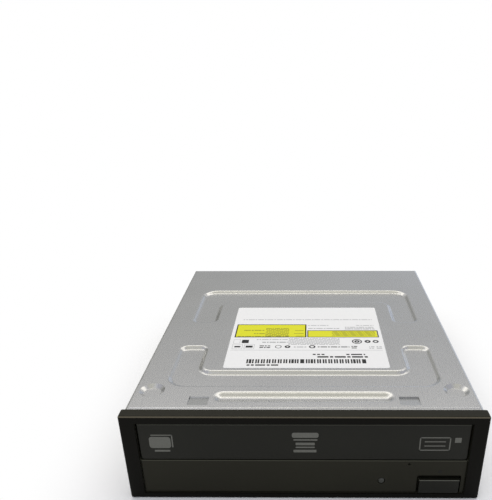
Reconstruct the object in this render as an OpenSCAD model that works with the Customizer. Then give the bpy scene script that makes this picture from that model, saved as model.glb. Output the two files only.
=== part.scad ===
// Half-height internal optical disc drive: a pressed steel body with a moulded
// front, a motor-driven disc tray and a pickup unit that rises under the disc.
// X runs across the drive, Y runs from the front to the rear and Z is up.
// Inside place(), Y counts from the front edge of the sheet metal body.

/* [Body] */
// Width of the sheet metal body
body_w = 146; // [145:0.5:149]
// Depth of the sheet metal body behind the bezel
body_d = 165; // [164:1:185]
// Height of the sheet metal body
body_h = 41.3; // [41:0.1:43]
// Height of the body's underside above the bezel's bottom edge
body_lift = 0.35; // [0.1:0.05:0.6]
// Thickness of the pressed steel sheet
sheet_t = 0.8; // [0.6:0.05:1]
// Outer radius of the sheet's bends
bend_r = 1.4; // [1.2:0.1:2]
// Clearance between sheet metal parts that lie side by side
sheet_gap = 0.15; // [0.1:0.05:0.25]

/* [Fixing holes] */
// Radius of the fixing holes, tapped for 3 mm screws
hole_r = 1.25; // [1:0.05:1.5]
// Distance from the body's front edge to the front fixing holes
hole_front = 47.4; // [46:0.1:49]
// Distance between front and rear fixing holes
hole_pitch_y = 79.25; // [78:0.25:81]
// Height of the lower side holes above the body's underside
side_hole_z = 10; // [9.5:0.1:10.5]
// Distance between lower and upper side holes
side_pitch_z = 11.84; // [11:0.1:12.5]
// Distance from the body's side to the bottom holes
bottom_hole_side = 3.15; // [3:0.05:4]
// Height of the drawn collar round a fixing hole
collar_h = 1; // [0.6:0.1:1.2]
// Wall of the drawn collar
collar_t = 0.5; // [0.4:0.1:0.6]

/* [Pressed recesses in the cover] */
// Depth of the recesses
rib_depth = 1.3; // [0.8:0.1:1.6]
// Width of a recess's sloping wall
rib_run = 2.5; // [1.5:0.1:3]
// Distance from the body's side to the staple-shaped recesses
staple_side = 12; // [9:0.5:15]
// Width of a staple's arms
staple_arm_w = 14.5; // [12:0.5:16]
// Depth of the staple's band
staple_band = 18.5; // [14:0.5:22]
// Length of the rear staple from its band's rear edge to its arms' ends
rear_staple_len = 46; // [40:1:52]
// Distance from the body's rear to the rear staple
rear_staple_gap = 35.5; // [30:0.5:40]
// Distance from the body's front to the front staple
front_staple_gap = 18.2; // [17.5:0.1:20]
// Length of the front staple
front_staple_len = 38.8; // [34:0.2:42]
// Depth of the front staple's band
front_staple_band = 14.3; // [12:0.1:16]
// Outer corner radius of the staples
staple_corner_r = 9; // [6:0.5:12]
// Radius of the staples' other corners
staple_end_r = 4.6; // [3.5:0.1:6]
// Half width of the front bead
bead_half_w = 38.2; // [30:0.1:44]
// Distance from the body's front to the bead
bead_front = 6; // [5:0.1:7]
// Width of the bead from front to rear
bead_w = 8.5; // [7.5:0.1:10]
// Distance from the body's side to a round dimple
dimple_side = 8; // [7:0.5:11]
// Distance from the body's front to a round dimple
dimple_y = 15.5; // [12:0.5:18]
// Outer radius of a round dimple
dimple_r = 5.4; // [4:0.1:6]
// Width of a half-sheared tab
tab_w = 8.4; // [6:0.2:10]
// Distance from the body's front to a half-sheared tab's root
tab_front = 3.8; // [3:0.1:5]
// Distance from the body's front to a half-sheared tab's cut edge
tab_rear = 10.3; // [9:0.1:12]
// Depth of a half-sheared tab at its cut edge
tab_sink = 0.7; // [0.4:0.1:0.8]

/* [Label] */
// Width of the paper label
label_w = 76.5; // [60:0.5:80]
// Depth of the paper label
label_d = 68.7; // [50:0.1:70]
// Distance from the body's front to the label
label_front = 34.3; // [33:0.1:37]
// Shift of the label to the right of centre
label_shift = 1; // [0:0.1:2]
// Thickness of the paper label
label_t = 0.12; // [0.08:0.01:0.2]

/* [Front bezel] */
// Distance that the bezel stands out past the body's sides
bezel_side = 1.1; // [0.8:0.1:1.6]
// Distance that the bezel stands out above the body
bezel_over = 0.35; // [0.2:0.05:0.6]
// Depth of the bezel
bezel_d = 5; // [4.6:0.1:6]
// Width of the bezel's rim at each side
rim_side = 6.3; // [5.5:0.1:7]
// Width of the bezel's rim at the top
rim_top = 3.6; // [3:0.1:4]
// Width of the bezel's rim at the bottom
rim_bottom = 2.8; // [2.4:0.1:3.2]
// Rounding of the bezel's front edges
bezel_edge_r = 0.9; // [0.5:0.1:1.2]
// Depth of the shallow field inside the rim
field_depth = 0.7; // [0.4:0.1:1]
// Height of the tray door's lower edge
door_low = 20.3; // [20:0.1:20.8]
// Gap round the tray door
door_gap = 0.65; // [0.4:0.05:0.8]
// Thickness of the tray door
door_t = 2.7; // [2.2:0.1:3]
// Width of the eject button
button_w = 16.9; // [14:0.1:18]
// Height of the eject button
button_h = 7.35; // [6:0.05:8]
// Distance from the button's side to the side of the field round it
button_side = 2.5; // [2:0.05:5]
// Travel of the eject button
button_travel = 0.5; // [0.3:0.05:0.6]
// Distance from the button's centre to the indicator
led_pitch = 24.25; // [21:0.25:27]
// Height of the indicator
led_z = 9.2; // [8.8:0.1:10]
// Radius of the indicator's lens
led_r = 1.35; // [1:0.05:1.5]
// Distance from the button's centre to the emergency pin hole
pin_hole_pitch = 13.15; // [12:0.05:15]
// Height of the emergency pin hole
pin_hole_z = 17.9; // [16.5:0.1:18]
// Radius of the emergency pin hole
pin_hole_r = 0.55; // [0.4:0.05:0.8]

/* [Disc tray] */
// Distance from the body's side to the tray
tray_side = 8.5; // [8:0.25:9.5]
// Distance from the body's rear to the tray
tray_rear_gap = 8; // [5:0.5:9]
// Height of the tray's underside
tray_z = 23.4; // [23.2:0.1:23.6]
// Thickness of the tray's rim
tray_t = 4.8; // [4.6:0.1:5]
// Diameter of the recess for the full-size disc
recess_d = 121.5; // [120.5:0.25:123]
// Floor of the full-size recess above the tray's underside
recess_floor = 2.4; // [2.2:0.1:2.6]
// Diameter of the recess for the small disc
small_recess_d = 81.5; // [80.5:0.25:83]
// Floor of the small recess above the tray's underside
small_floor = 1.2; // [1:0.1:1.5]
// Distance from the body's front to the disc's centre
disc_y = 66; // [65.5:0.25:67]
// Half width of the tray's window
window_half = 20; // [19:0.5:22]
// Distance from the cradle's pivot to the window's rear end
window_gap = 7.5; // [5:0.5:8]
// Length of the tray that stays in its guides when it is open
tray_hold = 19; // [17:1:27]

/* [Pickup unit] */
// Distance from the body's rear to the cradle's pivot
pivot_gap = 19; // [17:0.5:21]
// Height of the cradle's pivot
pivot_z = 15; // [14.6:0.1:15.4]
// Drop of the turntable from its playing height
lift = 7.4; // [7.2:0.1:7.7]
// Playing height of the disc above the tray's underside
disc_rise = 3.8; // [3.7:0.1:4]
// Radius of the turntable
turntable_r = 15; // [13:0.25:15.5]
// Radius of the turntable's centring hub
hub_r = 7.4; // [7:0.05:7.45]
// Height of the centring hub
hub_h = 2.2; // [1.8:0.1:2.3]
// Half width of the pickup unit's steel chassis
plate_half = 36; // [35:0.5:36.5]
// Radius of the guide rods
rod_r = 1.5; // [1.2:0.1:1.6]
// Distance from the disc's centre to the lens at its inner stop
lens_inner = 24; // [23.5:0.25:25]
// Pitch of the lead screw
screw_pitch = 3; // [2:0.5:4]
// Radius of the motor spindle
spindle_r = 1.5; // [1.2:0.1:1.8]
// Clearance of a running fit
run_gap = 0.05; // [0.02:0.01:0.08]

/* [Loading drive] */
// Distance from the tray's left side to the drive gear's axle
gear_side = 20.5; // [20:0.5:21.5]
// Distance from the body's front to the drive gear's axle
gear_y = 15; // [14.5:0.25:16]
// Module of the tray rack and its gear
rack_module = 1; // [0.9:0.05:1.05]
// Teeth of the gear that moves the tray
rack_teeth = 16; // [14:1:16]
// Module of the reduction gears
fine_module = 0.8; // [0.7:0.05:0.82]
// Teeth of the reduction wheel
wheel_teeth = 30; // [28:2:30]
// Teeth of the pulley's pinion
pinion_teeth = 12; // [10:2:14]
// Radius of the belt's groove in the pulley
pulley_r = 10; // [8:0.5:10.5]
// Radius of the belt's groove in the motor pulley
motor_pulley_r = 3; // [2.5:0.1:3.5]
// Thickness of the belt
belt_t = 1.2; // [1:0.1:1.4]
// Distance between the loading motor and the front board
motor_gap = 2.6; // [2:0.1:4]
// Distance from the body's front to the loading motor
motor_y = 17; // [16:0.5:18]
// Radius of the loading motor
motor_r = 12; // [10:0.5:12]
// Travel of the cam slider
cam_travel = 18; // [16:0.5:18]

/* [Deck and boards] */
// Height of the moulded deck's underside
deck_z = 10.4; // [10.2:0.1:10.6]
// Thickness of the moulded deck
deck_t = 1.6; // [1.4:0.1:1.7]
// Thickness of the circuit boards
pcb_t = 1.6; // [1:0.1:1.6]
// Gap between the boards and the deck, held by bosses
pcb_drop = 5.4; // [5.2:0.1:5.6]
// Depth of the main board
pcb_d = 58.2; // [54:0.2:60]
// Distance from the main board's left side to the data and power connector
sata_side = 4; // [2:0.5:6]

/* [Hidden] */
$fn = 64;

// Height and depth references
front_y = bezel_d - (body_d + bezel_d) / 2;
top_z = body_lift + body_h;
floor_z = body_lift + sheet_t;
side_in = body_w / 2 - sheet_t;
bezel_w = body_w + 2 * bezel_side;
bezel_h = top_z + bezel_over;
staple_half_w = body_w / 2 - staple_side;
dimple_x = body_w / 2 - dimple_side;
tab_gap = 1.4;
bottom_hole_x = body_w / 2 - bottom_hole_side;
hole_ys = [hole_front, hole_front + hole_pitch_y];
side_hole_zs = [body_lift + side_hole_z, body_lift + side_hole_z + side_pitch_z];
tray_half = body_w / 2 - tray_side;
tray_rear = body_d - tray_rear_gap;
tray_travel = tray_rear - tray_hold;
pivot_y = body_d - pivot_gap;
window_rear = pivot_y - window_gap;
over = 1;
touch_gap = 0.3;
small_gap = 0.2;
color_steel = "#A7A8A4";
color_plastic = "#2C2C2A";
color_black = "#1E1E1C";
color_bright = "#C9CACB";
color_board = "#2F5F3A";
color_white = "#E8E6DF";

// Moulded frame
frame_hw = body_w / 2 - 2 * sheet_t - 2 * sheet_gap;
frame_t = 1.6;
frame_front = 0.6;
frame_rear = body_d - sheet_t - small_gap;
deck_top = deck_z + deck_t;
bridge_flange_h = 3.2;
bridge_gap = 1.15;
bridge_z = top_z - sheet_t - rib_depth - bridge_gap - bridge_flange_h;
wall_top = bridge_z - 2.2;
damper_x = plate_half + 2.6;
cradle_in = plate_half + 0.6;
cradle_out = damper_x + 3.9;
cradle_gap = 1;
opening_half = cradle_out + cradle_gap;
opening_front = disc_y - 29.4;
opening_rear = pivot_y + 3;
ledge_in = tray_half - 3.5;
ledge_t = 1.6;
guide_in = tray_half - 2;
guide_len = 10;
post_in = tray_half + 0.7;
relief_r = hole_r + collar_t + 0.75;
relief_deep = 6.1;
boss_r = 3.4;
boss_side = 9;
boss_x = body_w / 2 - boss_side;
boss_front = 8;
boss_rear = body_d - boss_side;
bridge_screw_x = post_in + 2.4;
bridge_screw_pitch = 20;
pilot_r = 1.25;
thread_r = 1.05;
dimple_screw_r = 4.6;
dimple_screw_h = 1;

// Bezel and door
field_half = bezel_w / 2 - rim_side;
field_top = bezel_h - rim_top;
door_half = field_half - door_gap;
door_top = field_top - door_gap;
button_x = field_half - button_side - button_w / 2;
led_x = button_x - led_pitch;
pin_hole_x = button_x - pin_hole_pitch;
panel_top = door_low - 0.4;
door_face = field_depth;
lip = 2.6;
pocket_side = 1;
pocket_top = 2;
pocket_deep = 2.3;
latch_low = 12;
latch_high = 22;
latch_len = 9;

// Tray
tray_top = tray_z + tray_t;
tray_front_y = -(bezel_d - field_depth - door_t);
tray_plate_t = 2.4;
gear_x = gear_side - tray_half;
rack_pitch_r = rack_module * rack_teeth / 2;
rack_line = gear_x - rack_pitch_r;
rack_back = 3.2;
rack_low = tray_z - 3.2;

// Pickup unit at its playing height
disc_z = tray_z + disc_rise;
tilt = asin(lift / (pivot_y - disc_y));
turntable_t = 2;
cup_r = 13.4;
cup_wall = 0.8;
cup_h = 5.4;
plate_t = 1.2;
plate_z = pivot_z + 0.2;
plate_top = plate_z + plate_t;
plate_front = disc_y - 20;
plate_rear = pivot_y - 3;
plate_window_half = plate_half - 4.5;
plate_window_front = disc_y + turntable_r - 2;
cradle_low = pivot_z - 3;
cradle_top = pivot_z + 3;
cradle_front = plate_front - 2;
cradle_rim = 1.2;
cradle_floor = 2;
screw_x = plate_half - 5;
rod_z = plate_top + 2.6;
rod_left_x = 9 - plate_half;
rod_right_x = screw_x - 7;
rod_front = disc_y - 10;
rod_rear = plate_rear - 0.6;
tab_t = 1.6;
lens_y = disc_y + lens_inner;
sled_front = lens_y - 9.6;
sled_rear = lens_y + 14;
sled_stop = 0.8;
sled_travel = rod_rear - tab_t - sled_stop - sled_rear;
sled_low = plate_top + small_gap;
sled_top = disc_z - 4.4;
lens_seat = sled_top + 1.6;
lens_r = 2.55;
screw_z = plate_top + 1.9;
screw_r = 1.5;
feed_r = 4.6;
feed_front = plate_front + 3;
feed_len = 12;
damper_ys = [plate_front + 6, plate_rear - 6];
pin_r = 2;
cam_pin_r = 1.2;
cam_pin_x = 18;
cam_pin_z = pivot_z + 1.5;
slider_wall_front = opening_front + 0.4;
slider_wall_t = 2.4;
cam_pin_drop = (pivot_y - slider_wall_front - slider_wall_t / 2) * sin(tilt);

// Clamp
clamp_z = tray_top + 1.2;
clamper_r = 15;
clamper_body_r = 11.6;
bridge_t = 1;
bridge_hole_r = 13;
bridge_half_d = 17;
yoke_r = 14.4;
yoke_z = bridge_z + bridge_t + touch_gap;

// Loading drive
post_r = 1.6;
wheel_z = deck_top + 3.9;
wheel_t = 2.3;
pulley_z = deck_top + 0.4;
pulley_t = 3;
top_gear_z = rack_low - 0.2;
top_gear_t = tray_z - 0.8 - top_gear_z;
wheel_pitch_r = fine_module * wheel_teeth / 2;
pinion_pitch_r = fine_module * pinion_teeth / 2;
pulley_x = gear_x + wheel_pitch_r + pinion_pitch_r;
pulley_y = gear_y;
backlash = 0.12;
addendum = 0.95;
dedendum = 1.2;
slider_plate_z = deck_top + small_gap;
slider_plate_t = 1.6;
slider_arm_front = gear_y + wheel_pitch_r + fine_module + 0.5;

// Boards
pcb_z = deck_z - pcb_drop - pcb_t;
pcb_top = pcb_z + pcb_t;
pcb_rear = frame_rear - frame_t - small_gap;
pcb_front = pcb_rear - pcb_d;
pcb_half_w = (opening_half + frame_hw - frame_t) / 2 + 3.5;
pcb_screw_side = 4;
front_pcb_left = led_x - 4.2;
front_pcb_right = button_x + 3.4;
front_pcb_front = 2;
front_pcb_rear = 22;
motor_x = front_pcb_left - motor_gap - motor_r;
motor_screw_x = 7.5;
motor_shaft_r = 0.75;
sata_w = 42;
sata_h = 5;
sata_d = 10;
sata_x = sata_w / 2 + sata_side - pcb_half_w;
switch_z = pcb_top + 1.8;
switch_front = 3.6;
stem_r = 1.2;
cable_x = opening_half + 0.9;
cable_w = 8;
cable_t = 0.3;
cable_z = pcb_top + 0.95;
socket_side = 1.5;
data_slot_w = 11.4;
power_slot_w = 21.2;
cooled_chip_x = -24;
cooled_chip_y = pcb_front + 12;
cooled_chip_w = 15;
cooled_chip_h = 1.2;

// Moves the origin to the front edge of the sheet metal body.
module place() {
    translate([0, front_y, 0]) children();
}

// Makes a left and a right copy.
module both_sides() {
    for (side = [0, 1]) mirror([side, 0, 0]) children();
}

// Turns the pickup unit down from its playing height to its rest.
module lowered() {
    translate([0, pivot_y, pivot_z]) rotate([tilt, 0, 0]) translate([0, -pivot_y, -pivot_z]) children();
}

// A block given by its lowest and highest corners.
module block(low, high) {
    translate(low) cube(high - low);
}

// A cylinder along Y.
module rod_y(x, y0, y1, z, r) {
    translate([x, y1, z]) rotate([90, 0, 0]) cylinder(r = r, h = y1 - y0);
}

// A cylinder along X.
module rod_x(x0, x1, y, z, r) {
    translate([x0, y, z]) rotate([0, 90, 0]) cylinder(r = r, h = x1 - x0);
}

// A cylinder along Z, from its foot's height.
module rod_z(z, h, r) {
    translate([0, 0, z]) cylinder(r = r, h = h);
}

// A rounded rectangle built from true arcs.
module round_rect(x0, y0, x1, y1, r) {
    translate([x0 + r, y0]) square([x1 - x0 - 2 * r, y1 - y0]);
    translate([x0, y0 + r]) square([x1 - x0, y1 - y0 - 2 * r]);
    for (x = [x0 + r, x1 - r], y = [y0 + r, y1 - r]) translate([x, y]) circle(r = r);
}

// A rounded plate lying flat.
module round_plate(low, high, r) {
    translate([0, 0, low[2]]) linear_extrude(high[2] - low[2]) round_rect(low[0], low[1], high[0], high[1], r);
}

// A slot with round ends between two points.
module slot_2d(p, q, r) {
    along = q - p;
    angle = atan2(along[1], along[0]);
    translate(p) rotate(angle) translate([0, -r]) square([norm(along), 2 * r]);
    for (end = [p, q]) translate(end) circle(r = r);
}

// The outline of a belt or a cam round two circles.
module tangent_hull_2d(p, r1, q, r2) {
    along = q - p;
    spread = acos((r1 - r2) / norm(along));
    angle = atan2(along[1], along[0]);
    polygon([
        p + r1 * [cos(angle + spread), sin(angle + spread)],
        p + r1 * [cos(angle - spread), sin(angle - spread)],
        q + r2 * [cos(angle - spread), sin(angle - spread)],
        q + r2 * [cos(angle + spread), sin(angle + spread)]
    ]);
    translate(p) circle(r = r1);
    translate(q) circle(r = r2);
}

// One ring of an outline whose corners are arcs. A corner is its centre, its
// first and last angle, its radius and its turn, 1 outwards and -1 inwards.
function ring(corners, inset, z, steps) = [
    for (c = corners, i = [0 : steps])
        let (a = c[2] + (c[3] - c[2]) * i / steps, r = c[4] - c[5] * inset)
            [c[0] + r * cos(a), c[1] + r * sin(a), z]
];

// A solid through rings of equal length, from the highest to the lowest. Its
// flat ends are given as outlines, each a list of places in a ring.
module ring_loft(rings, ends) {
    n = len(rings[0]);
    last = len(rings) - 1;
    polyhedron(
        points = [for (r = rings) for (p = r) p],
        faces = concat(
            [for (outline = ends) [for (i = [len(outline) - 1 : -1 : 0]) outline[i]]],
            [for (k = [0 : last - 1], i = [0 : n - 1])
                [k * n + i, k * n + (i + 1) % n, (k + 1) * n + (i + 1) % n]],
            [for (k = [0 : last - 1], i = [0 : n - 1])
                [k * n + i, (k + 1) * n + (i + 1) % n, (k + 1) * n + i]],
            [for (outline = ends) [for (i = outline) last * n + i]]
        )
    );
}

// The space of a pressed recess whose wall eases in and out of its slope.
module pressing(corners, z, depth, grow, steps = 6, rows = 6, run = rib_run) {
    ends = len(corners) > 4 ? staple_ends(steps) : [[for (i = [0 : len(corners) * (steps + 1) - 1]) i]];
    ring_loft(concat(
        [ring(corners, -grow, z + 0.4, steps)],
        [for (k = [0 : rows]) let (t = k / rows)
            ring(corners, run * t - grow, z - depth * (1 - cos(180 * t)) / 2, steps)]
    ), ends);
}

// Corners of a staple: a band with an arm at each end, its far edge at y = 0.
function staple(half_w, arm, band, length, outer_r, r) = [
    [half_w - outer_r, -outer_r, 0, 90, outer_r, 1],
    [outer_r - half_w, -outer_r, 90, 180, outer_r, 1],
    [r - half_w, r - length, 180, 270, r, 1],
    [arm - half_w - r, r - length, 270, 360, r, 1],
    [arm - half_w + r, -band - r, 180, 90, r, -1],
    [half_w - arm - r, -band - r, 90, 0, r, -1],
    [half_w - arm + r, r - length, 180, 270, r, 1],
    [half_w - r, r - length, 270, 360, r, 1]
];

// A staple's flat end in parts without a notch: its band, a strip round each
// bend and its two arms. Place i of corner k in a ring is k * (steps + 1) + i.
function staple_ends(steps) = let (m = steps + 1) concat(
    [[steps, m, 5 * m - 1, 5 * m]],
    [for (bend = [[0, 5], [1, 4]], i = [0 : steps - 1])
        [bend[0] * m + i, bend[0] * m + i + 1, bend[1] * m + steps - i - 1, bend[1] * m + steps - i]],
    [[for (i = [2 * m - 1 : 4 * m]) i]],
    [concat([for (i = [6 * m - 1 : 8 * m - 1]) i], [0])]
);

// Corners of a rounded rectangle.
function rounded(x0, y0, x1, y1, r) = [
    [x1 - r, y1 - r, 0, 90, r, 1],
    [x0 + r, y1 - r, 90, 180, r, 1],
    [x0 + r, y0 + r, 180, 270, r, 1],
    [x1 - r, y0 + r, 270, 360, r, 1]
];

// Gear outline with involute flanks, a tooth on the X axis.
function involute_turn(a) = tan(a) * 180 / PI - a;
function flank_angle(r, base, half) =
    half + involute_turn(20) - (r > base ? involute_turn(acos(base / r)) : 0);
function gear_points(m, teeth) = let (
    pitch_r = m * teeth / 2,
    base = pitch_r * cos(20),
    root = pitch_r - dedendum * m,
    tip = pitch_r + addendum * m,
    half = 90 / teeth - backlash / pitch_r * 90 / PI,
    radii = [root, max(base, root + 0.01), (base + pitch_r) / 2 + 0.1 * m, pitch_r + 0.3 * m, tip],
    count = len(radii)
) [
    for (tooth = [0 : teeth - 1], side = [-1, 1], k = [0 : count - 1])
        let (
            r = radii[side < 0 ? k : count - 1 - k],
            a = tooth * 360 / teeth + side * flank_angle(r, base, half)
        ) r * [cos(a), sin(a)]
];

// Rack teeth along Y, pointing to +X from the pitch line at x = 0.
module rack_teeth_2d(m, y0, count, back) {
    pitch = PI * m;
    half = pitch / 4 - backlash / 4;
    lean = tan(20);
    translate([-back, y0 - pitch / 2]) square([back - dedendum * m, count * pitch]);
    for (k = [0 : count - 1]) {
        y = y0 + k * pitch;
        polygon([
            [-dedendum * m - 0.01, y - half - dedendum * m * lean],
            [addendum * m, y - half + addendum * m * lean],
            [addendum * m, y + half - addendum * m * lean],
            [-dedendum * m - 0.01, y + half + dedendum * m * lean]
        ]);
    }
}

// A screw with a cross recess, its head's seat at z = 0 and its shank below.
module screw(head_r, head_h, shank_r, length) {
    slot_len = head_r * 1.2;
    slot_w = 0.5;
    difference() {
        union() {
            cylinder(r1 = head_r, r2 = head_r * 0.8, h = head_h);
            rod_z(-length, length + 0.01, shank_r);
        }
        for (turn = [0, 90]) rotate(turn)
            translate([-slot_len / 2, -slot_w / 2, head_h * 0.4]) cube([slot_len, slot_w, head_h]);
    }
}

// The cover's outer form, or its inner form at a given depth under the skin.
module cover_form(depth, low) {
    r = bend_r - depth;
    intersection() {
        translate([0, body_d + over, 0]) rotate([90, 0, 0]) linear_extrude(body_d + 2 * over)
            round_rect(depth - body_w / 2, low - 2 * bend_r, body_w / 2 - depth, top_z - depth, r);
        rotate([90, 0, 90]) translate([0, 0, -body_w / 2]) linear_extrude(body_w)
            round_rect(-bend_r * 4, low - 2 * bend_r, body_d - depth, top_z - depth, r);
        block([-body_w, depth > 0 ? -over : 0, low], [body_w, body_d + over, top_z + over]);
    }
}

module cover_pressings(z, depth, grow) {
    bead_r = bead_w / 2 - 0.1;
    bead_run = bead_r - 0.5;
    bead = rounded(-bead_half_w, bead_front, bead_half_w, bead_front + bead_w, bead_r);
    translate([0, body_d - rear_staple_gap, 0]) pressing(
        staple(staple_half_w, staple_arm_w, staple_band, rear_staple_len, staple_corner_r, staple_end_r),
        z, depth, grow);
    translate([0, front_staple_gap, 0]) mirror([0, 1, 0]) pressing(
        staple(staple_half_w, staple_arm_w, front_staple_band, front_staple_len, staple_corner_r, staple_end_r),
        z, depth, grow);
    pressing(bead, z, depth, grow, run = bead_run);
    both_sides() translate([dimple_x, dimple_y, z]) dimple(depth, grow);
}

// A round pressed dimple with a sloping wall.
module dimple(depth, grow) {
    floor_r = dimple_r - rib_run * 0.7;
    translate([0, 0, -depth]) cylinder(r1 = floor_r + grow, r2 = dimple_r + grow, h = depth);
    rod_z(-0.01, 0.41, dimple_r + grow);
}

// A half-sheared tab: the sheet is pushed down towards its cut rear edge.
module sheared_tabs(z) {
    both_sides() translate([bead_half_w + tab_gap, 0, z]) rotate([90, 0, 90]) linear_extrude(tab_w)
        polygon([[tab_front, 0], [tab_front, 0.4], [tab_rear, 0.4], [tab_rear, -tab_sink]]);
}

module top_cover() {
    color(color_steel) place() difference() {
        union() {
            difference() {
                cover_form(0, body_lift);
                cover_form(sheet_t, body_lift - over);
                block([-side_in, body_d - sheet_t - over, 0], [side_in, body_d + over, deck_z + small_gap]);
            }
            cover_pressings(top_z - sheet_t, rib_depth, 0.2);
            translate([0, 0, -sheet_t]) sheared_tabs(top_z);
            both_sides() for (y = hole_ys, z = side_hole_zs)
                rod_x(side_in - collar_h, side_in + 0.1, y, z, hole_r + collar_t);
        }
        cover_pressings(top_z, rib_depth, 0);
        sheared_tabs(top_z);
        both_sides() for (y = hole_ys, z = side_hole_zs) rod_x(side_in - 2, body_w / 2 + over, y, z, hole_r);
        both_sides() block([side_in - over, 4, latch_low + 1],
            [body_w / 2 + over, latch_len - 1, latch_high - 1]);
    }
}

module cover_screw_places() {
    for (x = [-boss_x, boss_x], y = [boss_front, boss_rear]) translate([x, y, 0]) children();
}

module bottom_cover() {
    plate_half_w = side_in - sheet_gap;
    flange_h = 6;
    flange_end = 4;
    flange_gap = 6;
    flange_spans = [
        [flange_end, hole_ys[0] - flange_gap],
        [hole_ys[0] + flange_gap, hole_ys[1] - flange_gap],
        [hole_ys[1] + flange_gap, body_d - flange_end]
    ];
    panel_half = opening_half + 0.5;
    panel_corner = 7;
    panel_depth = 0.7;
    panel = rounded(-panel_half, opening_front - 2, panel_half, pcb_front - 4, panel_corner);
    rim_r = dimple_screw_r + 0.6;
    color(color_steel) place() difference() {
        union() {
            block([-plate_half_w, 0.2, body_lift], [plate_half_w, body_d, floor_z]);
            both_sides() for (span = flange_spans)
                block([plate_half_w - sheet_t, span[0], body_lift],
                    [plate_half_w, span[1], floor_z + flange_h]);
            block([-pcb_half_w, body_d - sheet_t, body_lift], [pcb_half_w, body_d, pcb_z - touch_gap]);
            cover_screw_places() translate([0, 0, body_lift + 0.1])
                cylinder(r1 = dimple_screw_r + 1.4, r2 = dimple_screw_r, h = sheet_t + dimple_screw_h - 0.1);
            for (y = hole_ys) both_sides() translate([bottom_hole_x, y, floor_z - 0.1])
                cylinder(r = hole_r + collar_t, h = collar_h + 0.1);
            translate([0, 0, floor_z]) mirror([0, 0, 1]) pressing(panel, 0, panel_depth, 0.2, 5, 3);
        }
        translate([0, 0, body_lift]) mirror([0, 0, 1]) pressing(panel, 0, panel_depth, 0, 5, 3);
        cover_screw_places() {
            rod_z(body_lift - 0.5, 0.51, rim_r);
            translate([0, 0, body_lift]) cylinder(r1 = rim_r, r2 = rim_r - 1.4, h = dimple_screw_h);
            cylinder(r = pilot_r + 0.25, h = 10);
        }
        for (y = hole_ys) both_sides() translate([bottom_hole_x, y, 0]) cylinder(r = hole_r, h = 10);
    }
}

module cover_screws() {
    color(color_bright) place() cover_screw_places() translate([0, 0, body_lift + dimple_screw_h])
        mirror([0, 0, 1]) screw(head_r = 2.7, head_h = 0.9, shank_r = pilot_r - 0.05, length = 5);
}

module label() {
    color("#EDEDEB") place() round_plate(
        [label_shift - label_w / 2, label_front, top_z],
        [label_shift + label_w / 2, label_front + label_d, top_z + label_t], 1.2);
}

// The bezel's outer block with rounded front edges.
module bezel_block() {
    r = bezel_edge_r;
    intersection() {
        translate([0, bezel_d, 0]) rotate([90, 0, 0]) linear_extrude(bezel_d)
            round_rect(-bezel_w / 2, 0, bezel_w / 2, bezel_h, r);
        translate([-bezel_w / 2, 0, 0]) rotate([90, 0, 90]) linear_extrude(bezel_w)
            round_rect(0, 0, bezel_d + 4 * r, bezel_h, r);
        linear_extrude(bezel_h) round_rect(-bezel_w / 2, 0, bezel_w / 2, bezel_d + 4 * r, r);
    }
}

module front_bezel() {
    pocket_left = button_x - button_w / 2 - pocket_side;
    pocket_right = button_x + button_w / 2 + pocket_side * 0.6;
    pocket_high = rim_bottom + button_h + pocket_top;
    panel_back = 2.6;
    hollow_low = rim_bottom + 1.2;
    color(color_black) place() translate([0, -bezel_d, 0]) difference() {
        union() {
            bezel_block();
            both_sides() translate([frame_hw - frame_t, bezel_d - over, latch_low])
                cube([frame_t - small_gap, latch_len + over, latch_high - latch_low]);
            both_sides() translate([frame_hw - small_gap - 0.01, bezel_d + 4.6, latch_low + 1.6])
                linear_extrude(latch_high - latch_low - 3.2)
                    polygon([[0, 0], [0.9 + sheet_gap, 0], [0, latch_len - 5]]);
        }
        block([-field_half, -over, rim_bottom], [field_half, field_depth, field_top]);
        block([-field_half, -over, panel_top], [field_half, door_face + door_t + small_gap, field_top]);
        block([lip - field_half, -over, panel_top + 1], [field_half - lip, bezel_d + over, field_top - 1.6]);
        block([pocket_left, -over, rim_bottom - 0.01], [pocket_right, field_depth + pocket_deep, pocket_high]);
        block([rack_line - rack_back - 0.5, door_face + door_t, rack_low - 0.4],
            [rack_line + rack_module + 0.6, bezel_d + over, tray_z]);
        rod_y(button_x, 0, bezel_d + over, switch_z, 1.8);
        rod_y(led_x, -over, bezel_d + over, led_z, led_r + run_gap);
        rod_y(pin_hole_x, -over, bezel_d + over, pin_hole_z, pin_hole_r);
        block([-field_half, panel_back, hollow_low], [led_x - 3, bezel_d + over, panel_top - 2.4]);
        block([led_x + 3, panel_back, hollow_low], [pocket_left - 1.4, bezel_d + over, pin_hole_z - 2.4]);
    }
}

module tray_door() {
    edge = 0.3;
    hollow_w = 14;
    hollow_pitch = hollow_w + 4;
    color(color_black) place() translate([0, -bezel_d, 0]) difference() {
        block([-door_half, door_face, door_low], [door_half, door_face + door_t, door_top]);
        for (z = [door_low, door_top]) translate([-door_half - over, door_face, z]) rotate([45, 0, 0])
            translate([0, -edge, -edge]) cube([2 * door_half + 2 * over, 2 * edge, 2 * edge]);
        both_sides() for (k = [0 : floor((door_half - 12) / hollow_pitch) - 1])
            block([8 + hollow_pitch * k, door_face + 1.7, door_low + 2],
                [8 + hollow_pitch * k + hollow_w, door_face + door_t + over, door_top - 2]);
    }
}

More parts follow.
